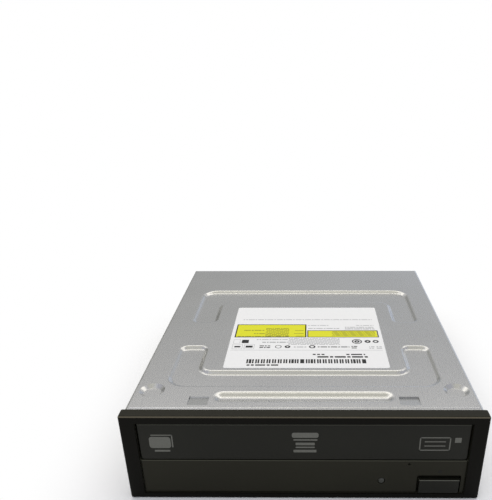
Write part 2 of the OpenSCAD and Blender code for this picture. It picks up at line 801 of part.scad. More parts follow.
module eject_button() {
    face_gap = 0.1;
    edge = 0.4;
    back = field_depth + pocket_deep - button_travel - 0.15;
    color(color_black) place() translate([0, -bezel_d, 0]) difference() {
        union() {
            block([button_x - button_w / 2, face_gap, rim_bottom + face_gap],
                [button_x + button_w / 2, back, rim_bottom + button_h]);
            rod_y(button_x, 1, bezel_d + switch_front - 2.05, switch_z, 1.5);
        }
        translate([0, face_gap, rim_bottom + button_h]) rotate([45, 0, 0])
            translate([button_x - button_w / 2 - over, -edge, -edge])
                cube([button_w + 2 * over, 2 * edge, 2 * edge]);
    }
}

module led_lens() {
    color("#8E9A86") place() rod_y(led_x, -bezel_d + field_depth, 1.4, led_z, led_r);
}

module bridge_screw_places() {
    for (x = [-bridge_screw_x, bridge_screw_x], side = [-1, 1])
        translate([x, disc_y + side * bridge_screw_pitch / 2, 0]) children();
}

module pcb_screw_places() {
    x = pcb_half_w - pcb_screw_side;
    for (p = [[-x, pcb_front + 6], [x, pcb_front + 22], [-x, pcb_rear - 14], [x, pcb_rear - 14],
        [led_x + led_pitch / 2, front_pcb_rear / 2]]) translate(p) children();
}

module motor_screw_places() {
    for (side = [-1, 1]) translate([motor_x + side * motor_screw_x, motor_y, 0]) children();
}

module main_frame() {
    color(color_plastic) place() difference() {
        union() {
            frame_walls();
            frame_tray_rails();
            frame_bosses();
            frame_posts();
        }
        block([-opening_half, opening_front, deck_z - over], [opening_half, opening_rear, deck_top + 9]);
        both_sides() for (y = hole_ys) {
            for (z = side_hole_zs) rod_x(body_w / 2 - relief_deep, body_w / 2, y, z, relief_r);
            translate([bottom_hole_x, y, 0]) cylinder(r = relief_r, h = relief_deep + 1);
        }
        both_sides() block([frame_hw - frame_t - over, 0, latch_low - 1],
            [frame_hw + over, latch_len + 1, latch_high + 1]);
        both_sides() rod_x(cradle_out, opening_half + 4.4, pivot_y, pivot_z, pin_r + run_gap);
        cover_screw_places() cylinder(r = pilot_r, h = 8);
        bridge_screw_places() rod_z(bridge_z - 6, 10, thread_r);
        pcb_screw_places() rod_z(pcb_top - over, 5.5, thread_r);
        motor_screw_places() rod_z(deck_z - over, deck_t + 2 * over, 1.1);
        translate([motor_x, motor_y, deck_z - over]) cylinder(r = 3.2, h = deck_t + 2 * over);
        block([led_x - 2.4, 0, deck_z - over], [led_x + 2.4, 8, deck_top + over]);
        block([sata_x - sata_w / 2 - touch_gap, frame_rear - frame_t - over, floor_z - over],
            [sata_x + sata_w / 2 + touch_gap, frame_rear + over, deck_z]);
    }
}

module frame_walls() {
    both_sides() block([frame_hw - frame_t, frame_front, floor_z], [frame_hw, frame_rear, wall_top]);
    block([-frame_hw, frame_rear - frame_t, floor_z], [frame_hw, frame_rear, tray_z]);
    block([-frame_hw, frame_front, deck_z], [frame_hw, frame_rear, deck_top]);
    block([-frame_hw + 1, frame_front, floor_z], [front_pcb_left - 3, frame_front + frame_t, deck_top]);
    both_sides() for (y = [disc_y - 4, disc_y + 18])
        block([opening_half + 2, y, deck_z - 4], [frame_hw - 1, y + 1.2, deck_top]);
}

module frame_tray_rails() {
    ledge_top = tray_z - small_gap;
    guide_low = tray_top + touch_gap;
    both_sides() {
        block([ledge_in, frame_front + 1.4, ledge_top - ledge_t], [frame_hw, frame_rear, ledge_top]);
        for (y = [3, disc_y + 24])
            block([guide_in, y, guide_low], [frame_hw, y + guide_len, guide_low + ledge_t]);
        block([post_in, disc_y - bridge_half_d, deck_z], [frame_hw, disc_y + bridge_half_d, bridge_z]);
    }
}

module frame_bosses() {
    bearing_r = 3.6;
    cover_screw_places() rod_z(floor_z + dimple_screw_h, deck_z - floor_z, boss_r);
    pcb_screw_places() rod_z(pcb_top, deck_z - pcb_top + 0.5, 2.6);
    both_sides() block([opening_half, pivot_y - bearing_r, deck_z],
        [opening_half + 5, pivot_y + bearing_r, pivot_z + bearing_r]);
}

// A wheel's post with the shoulder that carries the wheel.
module wheel_post(x, y, top, seat) {
    shoulder_r = 3;
    translate([x, y, deck_z]) {
        cylinder(r = post_r - run_gap, h = top - deck_z);
        cylinder(r = shoulder_r, h = seat - 0.15 - deck_z);
    }
}

module frame_posts() {
    guide_w = 6;
    guide_top = slider_plate_z + slider_plate_t + 1.5;
    wheel_post(gear_x, gear_y, tray_z - 0.6, wheel_z);
    wheel_post(pulley_x, pulley_y, wheel_z + wheel_t + 0.6, pulley_z);
    for (x = [-18, 30])
        block([x, slider_arm_front - 2.3, deck_z], [x + guide_w, slider_arm_front - 0.6, guide_top]);
}

module tray_window() {
    translate([0, disc_y]) circle(r = window_half);
    translate([-window_half, disc_y]) square([2 * window_half, window_rear - disc_y]);
}

module disc_recess(d, floor_h) {
    translate([0, disc_y, tray_z + floor_h]) cylinder(r = d / 2, h = tray_t, $fn = 128);
}

module tray() {
    rack_count = floor(tray_travel / (PI * rack_module)) + 3;
    rack_start = gear_y - 1.5 * PI * rack_module;
    corner = 5;
    finger_half = 24;
    color(color_plastic) place() union() {
        difference() {
            round_plate([-tray_half, tray_front_y + 1, tray_z], [tray_half, tray_rear, tray_top], corner);
            disc_recess(recess_d, recess_floor);
            disc_recess(small_recess_d, small_floor);
            translate([0, 0, tray_z - over]) linear_extrude(tray_t + 2 * over) tray_window();
            tray_pockets();
            block([-finger_half, disc_y - recess_d / 2 - 3.4, tray_z + recess_floor + 0.6],
                [finger_half, disc_y, tray_top + over]);
        }
        tray_front();
        translate([rack_line, 0, rack_low]) linear_extrude(tray_z - rack_low + 0.4)
            rack_teeth_2d(rack_module, rack_start, rack_count, rack_back);
    }
}

// Hollows under the four corners that the disc recess leaves thick.
module tray_pockets() {
    pocket_top_z = tray_z + recess_floor + 0.6;
    wall = 2;
    end_wall = 3;
    rib = 1.4;
    middle_half = 22;
    both_sides() difference() {
        union() {
            block([40, 4, tray_z - over], [tray_half - wall, 34, pocket_top_z]);
            block([middle_half + wall, 98, tray_z - over],
                [tray_half - wall, tray_rear - end_wall, pocket_top_z]);
        }
        translate([0, disc_y, 0]) cylinder(r = recess_d / 2 + wall, h = tray_top, $fn = 128);
        for (y = [122, 138]) block([0, y, 0], [tray_half, y + rib, tray_top]);
    }
    block([-middle_half, window_rear + end_wall, tray_z - over],
        [middle_half, tray_rear - end_wall, pocket_top_z]);
}

// The upright plate that carries the door.
module tray_front() {
    web_t = 1.4;
    web_d = 4.6;
    web_h = 6.2;
    block([lip + 1 - field_half, tray_front_y, tray_z - 1.6],
        [field_half - lip - 1, tray_front_y + tray_plate_t, field_top - 2.4]);
    both_sides() for (x = [20, 42, tray_half - 4.5])
        translate([x, tray_front_y + tray_plate_t - 0.1, tray_top - 0.4]) rotate([90, 0, 90])
            linear_extrude(web_t) polygon([[0, 0], [web_d, 0], [0, web_h]]);
}

module clamp_bridge() {
    slot_half = 5;
    slot_r = 4;
    color(color_steel) place() difference() {
        union() {
            round_plate([-frame_hw + 0.4, disc_y - bridge_half_d + 1, bridge_z],
                [frame_hw - 0.4, disc_y + bridge_half_d - 1, bridge_z + bridge_t], 3);
            for (y = [disc_y - bridge_half_d + 1, disc_y + bridge_half_d - 2])
                block([10 - post_in, y, bridge_z], [post_in - 10, y + 1, bridge_z + bridge_flange_h]);
        }
        translate([0, disc_y, bridge_z - over]) cylinder(r = bridge_hole_r, h = 3 * over);
        both_sides() for (x = [22, 42]) translate([x, disc_y, bridge_z - over])
            linear_extrude(3 * over) slot_2d([0, -slot_half], [0, slot_half], slot_r);
        bridge_screw_places() rod_z(bridge_z - over, 3 * over, 1.3);
    }
}

module bridge_screws() {
    color(color_bright) place() bridge_screw_places() translate([0, 0, bridge_z + bridge_t])
        screw(head_r = 2.1, head_h = 1.1, shank_r = 1, length = 5);
}

module clamper() {
    color(color_white) place() translate([0, disc_y, clamp_z]) difference() {
        union() {
            cylinder(r1 = clamper_r - 0.4, r2 = clamper_r, h = 1);
            rod_z(0.99, 1, clamper_r);
            rod_z(1.9, yoke_z - clamp_z - 1.9, clamper_body_r);
        }
        rod_z(-over, 3, hub_r + 1.2);
        rod_z(-over, 20, 4);
        rod_z(yoke_z - clamp_z - 3.6, 10, 9.1);
        for (turn = [0 : 60 : 300]) rotate(turn) translate([clamper_r - 1.6, 0, 1]) cylinder(r = 0.8, h = 2);
    }
}

module clamp_magnet() {
    color("#5A5B5E") place() translate([0, disc_y, yoke_z - 3.6]) difference() {
        cylinder(r = 9, h = 3.5);
        rod_z(-over, 6, 5);
    }
}

module clamp_yoke() {
    color(color_bright) place() translate([0, disc_y, yoke_z]) difference() {
        union() {
            cylinder(r = yoke_r, h = 0.8);
            cylinder(r1 = 9, r2 = 8, h = 1.5);
        }
        rod_z(-over, 4, 2.5);
    }
}

module damper_places() {
    both_sides() for (y = damper_ys) translate([damper_x, y, 0]) children();
}

module traverse_frame() {
    rear = pivot_y + 2;
    color(color_plastic) place() lowered() difference() {
        union() {
            block([-cradle_out, cradle_front, cradle_low], [cradle_out, rear, cradle_low + cradle_floor]);
            both_sides() block([cradle_out - cradle_rim, cradle_front, cradle_low],
                [cradle_out, rear, cradle_top]);
            block([-cradle_out, cradle_front, cradle_low], [cradle_out, cradle_front + 1.4, cradle_top]);
            block([-cradle_out, rear - 3.6, cradle_low], [cradle_out, rear, cradle_top]);
            both_sides() rod_x(cradle_out - 3, opening_half + 4, pivot_y, pivot_z, pin_r);
            for (x = [-cam_pin_x, cam_pin_x]) {
                rod_y(x, slider_wall_front - 0.3, cradle_front + 1, cam_pin_z, cam_pin_r);
                rod_y(x, slider_wall_front + slider_wall_t + 1, cradle_front + 1, cam_pin_z, cam_pin_r + 1);
            }
        }
        block([0.4 - cradle_in, cradle_front + 4, cradle_low - over],
            [cradle_in - 0.4, rear - 7, cradle_low + 4]);
        damper_places() rod_z(cradle_low - over, 6, 1.1);
    }
}

module traverse_plate() {
    ear_half = 4;
    color(color_bright) place() lowered() difference() {
        union() {
            round_plate([-plate_half, plate_front, plate_z], [plate_half, plate_rear, plate_top], 2);
            both_sides() for (y = damper_ys) round_plate([plate_half - 4, y - ear_half, plate_z],
                [damper_x + 2.4, y + ear_half, plate_top], 2);
            for (x = [rod_left_x, rod_right_x], y = [rod_front, rod_rear - tab_t])
                block([x - 2.3, y, plate_z], [x + 2.3, y + tab_t, rod_z + rod_r + 1]);
            block([screw_x - 2.6, rod_rear - tab_t, plate_z], [screw_x + 2.6, rod_rear, screw_z + screw_r + 1]);
        }
        round_plate([-plate_window_half, plate_window_front, plate_z - over],
            [plate_window_half, sled_rear + sled_travel, plate_top + over / 2], 3);
        translate([0, disc_y, plate_z - over]) cylinder(r = spindle_r + 0.5, h = 4);
        for (x = [rod_left_x, rod_right_x]) rod_y(x, rod_front - over, rod_rear + over, rod_z, rod_r + run_gap);
        rod_y(screw_x, rod_rear - 3, rod_rear + over, screw_z, 1 + run_gap);
        block([screw_x - feed_r - touch_gap, feed_front - touch_gap, plate_z - over],
            [screw_x + feed_r + touch_gap, feed_front + feed_len + 24, plate_top + over / 2]);
        damper_places() rod_z(plate_z - over, 4, 1.9);
    }
}

module dampers() {
    foot = cradle_low + cradle_floor;
    damper_r = 2.6;
    neck_r = 1.85;
    color("#3A3A3C") place() lowered() damper_places() difference() {
        union() {
            rod_z(foot, plate_z - foot, damper_r);
            rod_z(plate_z, plate_t, neck_r);
            rod_z(plate_top, 1, damper_r);
        }
        rod_z(cradle_low, 10, thread_r);
    }
}

module damper_screws() {
    color(color_bright) place() lowered() damper_places() translate([0, 0, plate_top + 1])
        screw(head_r = 2.4, head_h = 0.8, shank_r = 1, length = 5.2);
}

module spindle_stator() {
    core_z = plate_top + 2.6;
    core_h = 2.6;
    core_r = 11.6;
    slots = 12;
    slot_in = 7.6;
    slot_r = 1.3;
    slot_neck = 0.35;
    base_t = 0.8;
    color("#B08D57") place() lowered() translate([0, disc_y, 0]) difference() {
        union() {
            round_plate([-turntable_r, -17, plate_top], [turntable_r, 12, plate_top + base_t], 3);
            rod_z(plate_top, 5.6, 3.6);
            difference() {
                rod_z(core_z, core_h, core_r);
                for (k = [0 : slots - 1]) rotate((k + 0.5) * 360 / slots)
                    translate([slot_in, 0, core_z - over]) {
                        cylinder(r = slot_r, h = core_h + 2 * over);
                        translate([0, -slot_neck, 0]) cube([core_r, 2 * slot_neck, core_h + 2 * over]);
                    }
            }
            rod_z(plate_top, core_z - plate_top + 0.1, 5.4);
        }
        rod_z(plate_top - over, 20, spindle_r + run_gap);
    }
}

module spindle_rotor() {
    cup_z = disc_z - turntable_t - cup_h;
    color(color_bright) place() lowered() translate([0, disc_y, 0]) union() {
        difference() {
            rod_z(cup_z, cup_h, cup_r);
            rod_z(cup_z - over, cup_h - cup_wall + over, cup_r - cup_wall);
        }
        rod_z(plate_top - 0.6, disc_z - turntable_t - plate_top + 0.6, spindle_r);
    }
}

module turntable() {
    key_w = 3;
    boss_h = 0.3;
    rim_low = disc_z - turntable_t;
    seat = disc_z - 0.5;
    chamfer = 1.6;
    straight = 1;
    color(color_plastic) place() lowered() translate([0, disc_y, 0]) difference() {
        union() {
            rod_z(rim_low, turntable_t - 0.4, turntable_r);
            rod_z(seat, boss_h, 10.6);
            rod_z(seat, disc_z + straight - seat, hub_r);
            translate([0, 0, disc_z + straight - 0.01])
                cylinder(r1 = hub_r, r2 = hub_r - chamfer, h = hub_h - straight);
        }
        rod_z(rim_low + 0.8, 10, 2 * spindle_r);
        for (turn = [0 : 120 : 240]) rotate(turn)
            translate([hub_r - 1.9, -key_w / 2, disc_z - 0.2]) cube([key_w, key_w, hub_h + over]);
    }
}

module turntable_pad() {
    color("#55565A") place() lowered() translate([0, disc_y, disc_z - 0.4]) difference() {
        cylinder(r = turntable_r - 0.3, h = 0.4);
        rod_z(-over, 3, 10.9);
    }
}

module guide_rod_left() {
    color(color_bright) place() lowered() rod_y(rod_left_x, rod_front - 0.6, rod_rear + 0.4, rod_z, rod_r);
}

module guide_rod_right() {
    color(color_bright) place() lowered() rod_y(rod_right_x, rod_front - 0.6, rod_rear + 0.4, rod_z, rod_r);
}

module feed_motor() {
    color("#9A9B9D") place() lowered() difference() {
        union() {
            rod_y(screw_x, feed_front, feed_front + feed_len, screw_z, feed_r);
            block([screw_x - feed_r, feed_front + 1, plate_top - 3.4],
                [screw_x + feed_r, feed_front + feed_len - 1, screw_z]);
        }
        rod_y(screw_x, feed_front + feed_len - 6, feed_front + feed_len + over, screw_z, 1.2);
    }
}

// The lead screw: a core with a groove cut at the screw's pitch.
module lead_screw() {
    screw_front = feed_front + feed_len + 0.4;
    screw_rear = rod_rear - tab_t - 0.4;
    groove_r = screw_r - 0.35;
    grooves = floor((screw_rear - screw_front - 3) / screw_pitch);
    color(color_bright) place() lowered() difference() {
        union() {
            rod_y(screw_x, screw_front, screw_rear, screw_z, screw_r);
            rod_y(screw_x, screw_front - 5.2, rod_rear, screw_z, 1);
        }
        for (k = [0 : grooves - 1]) translate([screw_x, screw_front + 2.5 + k * screw_pitch, screw_z])
            rotate([90, 0, 0]) rotate_extrude() polygon([
                [screw_r + 0.1, -0.9], [screw_r + 0.1, 0.9], [groove_r, 0.4], [groove_r, -0.4]
            ]);
    }
}

// The pickup's body. A hollow is its left, front, right and rear edge from the
// lens, and its depth.
module optical_sled() {
    arm = 4.2;
    bearing = 8;
    shoulder = 14;
    right = rod_right_x + 3;
    left = rod_left_x + 1;
    well = 8;
    hollows = [[-20, -5, -12, 9, 2], [4, 2, 17, 10, 2.4]];
    color("#8C8E90") place() lowered() difference() {
        union() {
            block([rod_left_x - arm, sled_front, sled_low], [rod_left_x + arm, sled_rear, rod_z + rod_r + 1.6]);
            translate([0, 0, sled_low]) linear_extrude(sled_top - sled_low) polygon([
                [left, sled_front + 2], [shoulder, sled_front + 2], [shoulder + 4, sled_front + 7],
                [right, sled_front + 9], [right, sled_rear - 4], [shoulder, sled_rear], [left, sled_rear]
            ]);
        }
        translate([0, disc_y, sled_low - over]) cylinder(r = turntable_r + 1, h = 20);
        rod_y(rod_left_x, sled_front - over, sled_rear + over, rod_z, rod_r + run_gap);
        block([rod_left_x - arm + 1, sled_front + bearing, rod_z - 3],
            [rod_left_x + arm - 1, sled_rear - bearing, sled_top + over]);
        block([rod_right_x - rod_r - run_gap, sled_front, rod_z - rod_r - run_gap],
            [right + over, sled_rear + over, rod_z + rod_r + run_gap]);
        block([-well - 1, lens_y - well, sled_top - 2.4], [well + 1, lens_y + well, sled_top + over]);
        for (h = hollows) block([h[0], lens_y + h[1], sled_low - over], [h[2], lens_y + h[3], sled_low + h[4]]);
    }
}

module actuator_cover() {
    wall = 0.6;
    height = 2;
    half_w = 12;
    front = lens_y - 7.4;
    rear = lens_y + 10;
    window_w = 7.4;
    color(color_bright) place() lowered() difference() {
        round_plate([-half_w, front, sled_top], [half_w, rear, sled_top + height], 2);
        translate([0, disc_y, sled_top - over]) cylinder(r = turntable_r + 1.4, h = 9);
        round_plate([wall - half_w, front + wall, sled_top - over],
            [half_w - wall, rear - wall, sled_top + height - 0.5], 1.5);
        round_plate([-window_w, lens_y - 5.4, sled_top - over], [window_w, lens_y + 6.4, sled_top + 3], 1);
    }
}

module lens_holder() {
    half_w = 6.6;
    bore_r = 2;
    color("#1D2A33") place() lowered() difference() {
        round_plate([-half_w, lens_y - 4.6, sled_top - 1.6], [half_w, lens_y + 5.6, lens_seat + 0.6], 1.2);
        translate([0, lens_y, sled_top - 4]) cylinder(r = bore_r, h = 10);
        translate([0, lens_y, lens_seat]) cylinder(r = lens_r + run_gap, h = 4);
    }
}

module objective_lens() {
    curve_r = 5.2;
    rise = 1;
    color("#BFD8E6") place() lowered() translate([0, lens_y, lens_seat]) intersection() {
        cylinder(r = lens_r, h = 1.2);
        translate([0, 0, rise - curve_r]) sphere(r = curve_r);
    }
}

module rack_follower() {
    front = sled_rear - 12;
    rear = sled_rear - 4;
    half_h = 2.2;
    color(color_white) place() lowered() difference() {
        block([rod_right_x + 3, front, screw_z - half_h], [screw_x + 2, rear, screw_z + 2]);
        rod_y(screw_x, front - over, rear + over, screw_z, screw_r + 0.1);
        block([screw_x - 0.4, front - over, screw_z - half_h - over],
            [screw_x + 3, rear + over, screw_z + 0.6]);
    }
}

module cam_slider() {
    slope = [-cam_travel, cam_pin_drop];
    low = cam_pin_z - cam_pin_drop;
    slot_r = cam_pin_r + 0.45;
    slot_wall = 2.2;
    rack_count = floor(cam_travel / (PI * fine_module)) + 1;
    left = -cam_pin_x - cam_travel - 5;
    right = cam_pin_x + 5;
    rack_end = gear_x - 3;
    arm_left = rack_end - rack_count * PI * fine_module;
    arm_back = slider_arm_front + 5.4;
    plate_top_z = slider_plate_z + slider_plate_t;
    hollow = [14, 2.6];
    color(color_white) place() difference() {
        union() {
            block([left, slider_wall_front, low - slot_wall],
                [right, slider_wall_front + slider_wall_t, cam_pin_z + slot_wall]);
            block([left, slider_arm_front + 1.3, slider_plate_z],
                [right, slider_wall_front + slider_wall_t, plate_top_z]);
            block([arm_left, slider_arm_front + 1.9, slider_plate_z], [left + 4, arm_back, wheel_z + wheel_t]);
            translate([rack_end - PI * fine_module / 2, slider_arm_front + addendum * fine_module, wheel_z])
                mirror([1, 0, 0]) rotate(-90) linear_extrude(wheel_t)
                    rack_teeth_2d(fine_module, 0, rack_count, 3);
        }
        for (x = [-cam_pin_x, cam_pin_x])
            translate([0, slider_wall_front + slider_wall_t + over, 0]) rotate([90, 0, 0])
                linear_extrude(slider_wall_t + 2 * over) slot_2d([x, low], [x, low] + slope, slot_r);
        for (x = [left + 9, 0]) translate([x, slider_arm_front + 3, slider_plate_z - over])
            cube([hollow[0], hollow[1], slider_plate_t + 2 * over]);
    }
}

module loading_motor() {
    can_h = deck_z - floor_z - 0.6;
    collar_r = 3;
    color("#B9BABC") place() translate([motor_x, motor_y, 0]) difference() {
        union() {
            rod_z(deck_z - can_h, can_h - 0.02, motor_r);
            rod_z(deck_z - 0.1, 1.2, collar_r);
            rod_z(deck_z, pulley_z + pulley_t + 0.4 - deck_z, motor_shaft_r);
        }
        for (side = [-1, 1])
            translate([side * motor_screw_x, 0, deck_z - 4]) cylinder(r = thread_r, h = 6);
    }
}

module motor_screws() {
    color(color_bright) place() motor_screw_places() translate([0, 0, deck_top])
        screw(head_r = 1.8, head_h = 0.35, shank_r = 1, length = 3.4);
}

// A grooved belt pulley, its groove half-way up.
module pulley_solid(r, h) {
    rim = r + 1.1;
    lip_h = 0.5;
    rotate_extrude() polygon([
        [0, 0], [rim, 0], [rim, lip_h], [r, (h - belt_t) / 2], [r, (h + belt_t) / 2], [rim, h - lip_h],
        [rim, h], [0, h]
    ]);
}

module motor_pulley() {
    color(color_white) place() translate([motor_x, motor_y, pulley_z]) difference() {
        pulley_solid(motor_pulley_r, pulley_t);
        rod_z(-over, pulley_t + 2 * over, motor_shaft_r + 0.02);
    }
}

module drive_belt() {
    p = [pulley_x, pulley_y];
    q = [motor_x, motor_y];
    color(color_black) place() translate([0, 0, pulley_z + (pulley_t - belt_t) / 2 + 0.06])
        linear_extrude(belt_t - 0.12) difference() {
            tangent_hull_2d(p, pulley_r + belt_t, q, motor_pulley_r + belt_t);
            tangent_hull_2d(p, pulley_r + 0.06, q, motor_pulley_r + 0.06);
        }
}

module pulley_gear() {
    turn = pinion_teeth % 2 == 0 ? 180 / pinion_teeth : 0;
    pinion_low = pulley_z + pulley_t - 0.1;
    color(color_white) place() translate([pulley_x, pulley_y, 0]) difference() {
        union() {
            translate([0, 0, pulley_z]) pulley_solid(pulley_r, pulley_t);
            translate([0, 0, pinion_low]) rotate(turn) linear_extrude(wheel_z + wheel_t + 0.2 - pinion_low)
                polygon(gear_points(fine_module, pinion_teeth));
        }
        rod_z(pulley_z - over, 20, post_r);
        for (a = [0 : 60 : 300]) rotate(a) translate([pulley_r * 0.68, 0, pulley_z - over])
            cylinder(r = 1.7, h = pulley_t + 2 * over);
    }
}

module drive_gear() {
    neck_low = wheel_z + wheel_t - 0.1;
    neck_r = 4;
    hole_pitch_r = 7.6;
    color(color_white) place() translate([gear_x, gear_y, 0]) difference() {
        union() {
            translate([0, 0, wheel_z]) linear_extrude(wheel_t) polygon(gear_points(fine_module, wheel_teeth));
            rod_z(neck_low, top_gear_z + 0.1 - neck_low, neck_r);
            translate([0, 0, top_gear_z]) linear_extrude(top_gear_t)
                polygon(gear_points(rack_module, rack_teeth));
        }
        rod_z(wheel_z - over, 20, post_r);
        for (a = [0 : 60 : 300]) rotate(a) translate([hole_pitch_r, 0, wheel_z - over])
            cylinder(r = 1.9, h = wheel_t + over + 0.4);
    }
}

module main_pcb() {
    cable_notch = 5;
    color(color_board) place() difference() {
        block([-pcb_half_w, pcb_front, pcb_z], [pcb_half_w, pcb_rear, pcb_top]);
        cover_screw_places() rod_z(pcb_z - over, 4, boss_r + touch_gap);
        pcb_screw_places() rod_z(pcb_z - over, 4, 1.2);
        block([8, pcb_front - over, pcb_z - over], [24, pcb_front + cable_notch, pcb_top + over]);
    }
}

// A chip on the main board: its centre from the board's front edge, its width,
// depth and height.
module chip(x, y, w, d, h) {
    translate([x - w / 2, pcb_front + y - d / 2, pcb_top]) cube([w, d, h]);
}

module main_chips() {
    chip_h = 1.4;
    small_chip_h = 1.1;
    color("#232325") place() union() {
        chip(-1, 27, 26, 26, chip_h);
        chip(25.5, 25, 11, 18, small_chip_h);
        chip(-37, 22.5, 6, 5, small_chip_h);
        block([cooled_chip_x, cooled_chip_y, pcb_z - cooled_chip_h],
            [cooled_chip_x + cooled_chip_w, cooled_chip_y + cooled_chip_w, pcb_z]);
    }
}

module capacitors() {
    capacitor_r = 2.6;
    capacitor_h = 4.6;
    places = [[38, 24], [38, 32], [-38, 34]];
    color("#8B6F3E") place() for (p = places)
        translate([p[0], pcb_front + p[1], pcb_top]) cylinder(r = capacitor_r, h = capacitor_h);
}

// A flat cable's socket: its left front corner and its width.
module cable_socket(x, y, w) {
    socket_d = 4;
    socket_h = 2;
    wall = 1;
    difference() {
        block([x, y, pcb_top], [x + w, y + socket_d, pcb_top + socket_h]);
        block([x + wall, y - over, cable_z - 0.05],
            [x + w - wall, y + socket_d + over, cable_z + cable_t + 0.05]);
    }
}

module flat_cable_sockets() {
    pickup_cable_w = 17;
    spindle_cable_w = 13;
    color(color_white) place() {
        cable_socket(-31, pcb_front + 2, pickup_cable_w);
        cable_socket(28, pcb_front + 7, spindle_cable_w);
        cable_socket(cable_x - socket_side, pcb_front + 12, cable_w + 2 * socket_side);
        cable_socket(cable_x - socket_side, front_pcb_rear - 4.4, cable_w + 2 * socket_side);
    }
}

module sata_connector() {
    slot_wall = 1;
    slot_d = 6;
    slots = [[4, data_slot_w], [4 + data_slot_w + slot_wall + 1, power_slot_w]];
    tongue_low = 2.4;
    tongue_high = 3.5;
    side_gap = 0.6;
    key_w = 1.2;
    front = body_d - slot_d;
    color(color_black) place() translate([sata_x - sata_w / 2, 0, pcb_top]) difference() {
        block([0, body_d - sata_d, 0], [sata_w, body_d, sata_h]);
        for (s = slots) difference() {
            block([s[0], front, slot_wall], [s[0] + s[1], body_d + over, sata_h - slot_wall + 0.2]);
            block([s[0] + side_gap, front - over, tongue_low],
                [s[0] + s[1] - side_gap, body_d - 0.4, tongue_high]);
            block([s[0] + side_gap, front - over, slot_wall + side_gap],
                [s[0] + side_gap + key_w, body_d - 0.4, tongue_high]);
        }
    }
}

module pcb_screws() {
    color(color_bright) place() pcb_screw_places() translate([0, 0, pcb_z]) mirror([0, 0, 1])
        screw(head_r = 1.9, head_h = 1, shank_r = 1, length = 5);
}

module insulation_sheet() {
    edge = 2;
    sheet_h = 0.2;
    color("#D8D2B8") place() difference() {
        block([edge - pcb_half_w, pcb_front, floor_z], [pcb_half_w - edge, pcb_rear, floor_z + sheet_h]);
        block([cooled_chip_x - edge, cooled_chip_y - edge, floor_z - over],
            [cooled_chip_x + cooled_chip_w + edge, cooled_chip_y + cooled_chip_w + edge, floor_z + over]);
        cover_screw_places() rod_z(floor_z - over, 3 * over, dimple_screw_r + 2);
    }
}

module thermal_pad() {
    color("#9FB4C4") place() block([cooled_chip_x, cooled_chip_y, floor_z],
        [cooled_chip_x + cooled_chip_w, cooled_chip_y + cooled_chip_w, pcb_z - cooled_chip_h]);
}

module front_pcb() {
    color(color_board) place() difference() {
        block([front_pcb_left, front_pcb_front, pcb_z], [front_pcb_right, front_pcb_rear, pcb_top]);
        pcb_screw_places() rod_z(pcb_z - over, 4, 1.2);
    }
}

module eject_switch() {
    half_w = 3;
    depth = 4;
    roof = 2.4;
    color("#3B3B3D") place() difference() {
        block([button_x - half_w, switch_front, pcb_top],
            [button_x + half_w, switch_front + depth, switch_z + roof]);
        rod_y(button_x, switch_front - over, switch_front + 1.2, switch_z, stem_r + 0.1);
    }
}

module switch_stem() {
    stem_out = 2;
    color(color_white) place() rod_y(button_x, switch_front - stem_out, switch_front + 0.6, switch_z, stem_r);
}

module led() {
    front = 2;
    rim = 6;
    rear = 7;
    body_r = 1.5;
    rim_r = 1.9;
    lead = 0.4;
    color("#C8D4BE") place() union() {
        rod_y(led_x, front, rim + 0.5, led_z, body_r);
        rod_y(led_x, rim, rear, led_z, rim_r);
        for (x = [-0.7 - lead / 2, 0.7 - lead / 2])
            block([led_x + x, rear - lead, pcb_top], [led_x + x + lead, rear, led_z]);
    }
}

module front_flat_cable() {
    end_in = 3;
    color("#DDE0E2") place() block([cable_x, front_pcb_rear - end_in, cable_z],
        [cable_x + cable_w, pcb_front + 12 + end_in - 0.5, cable_z + cable_t]);
}

top_cover();
bottom_cover();
label();
front_bezel();
tray_door();
eject_button();
led_lens();
main_frame();
tray();
clamp_bridge();
clamper();
clamp_magnet();
clamp_yoke();
traverse_frame();
traverse_plate();
dampers();
damper_screws();
spindle_stator();
spindle_rotor();
turntable();
turntable_pad();
guide_rod_left();
guide_rod_right();
feed_motor();
lead_screw();
optical_sled();
actuator_cover();
lens_holder();
objective_lens();
rack_follower();
cam_slider();
loading_motor();
motor_pulley();
drive_belt();
pulley_gear();
drive_gear();
main_pcb();
main_chips();
capacitors();
flat_cable_sockets();
sata_connector();
front_pcb();
eject_switch();
switch_stem();
led();
front_flat_cable();
cover_screws();
bridge_screws();
pcb_screws();
motor_screws();
insulation_sheet();
thermal_pad();
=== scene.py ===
"""Finish and studio scene for a half-height internal optical disc drive.

The operators model the moulded front, the light pipe, the label's print, the
cover's bead and the connector's contacts, give every carried-over piece its
real material, and set up a pale studio.
"""
import math

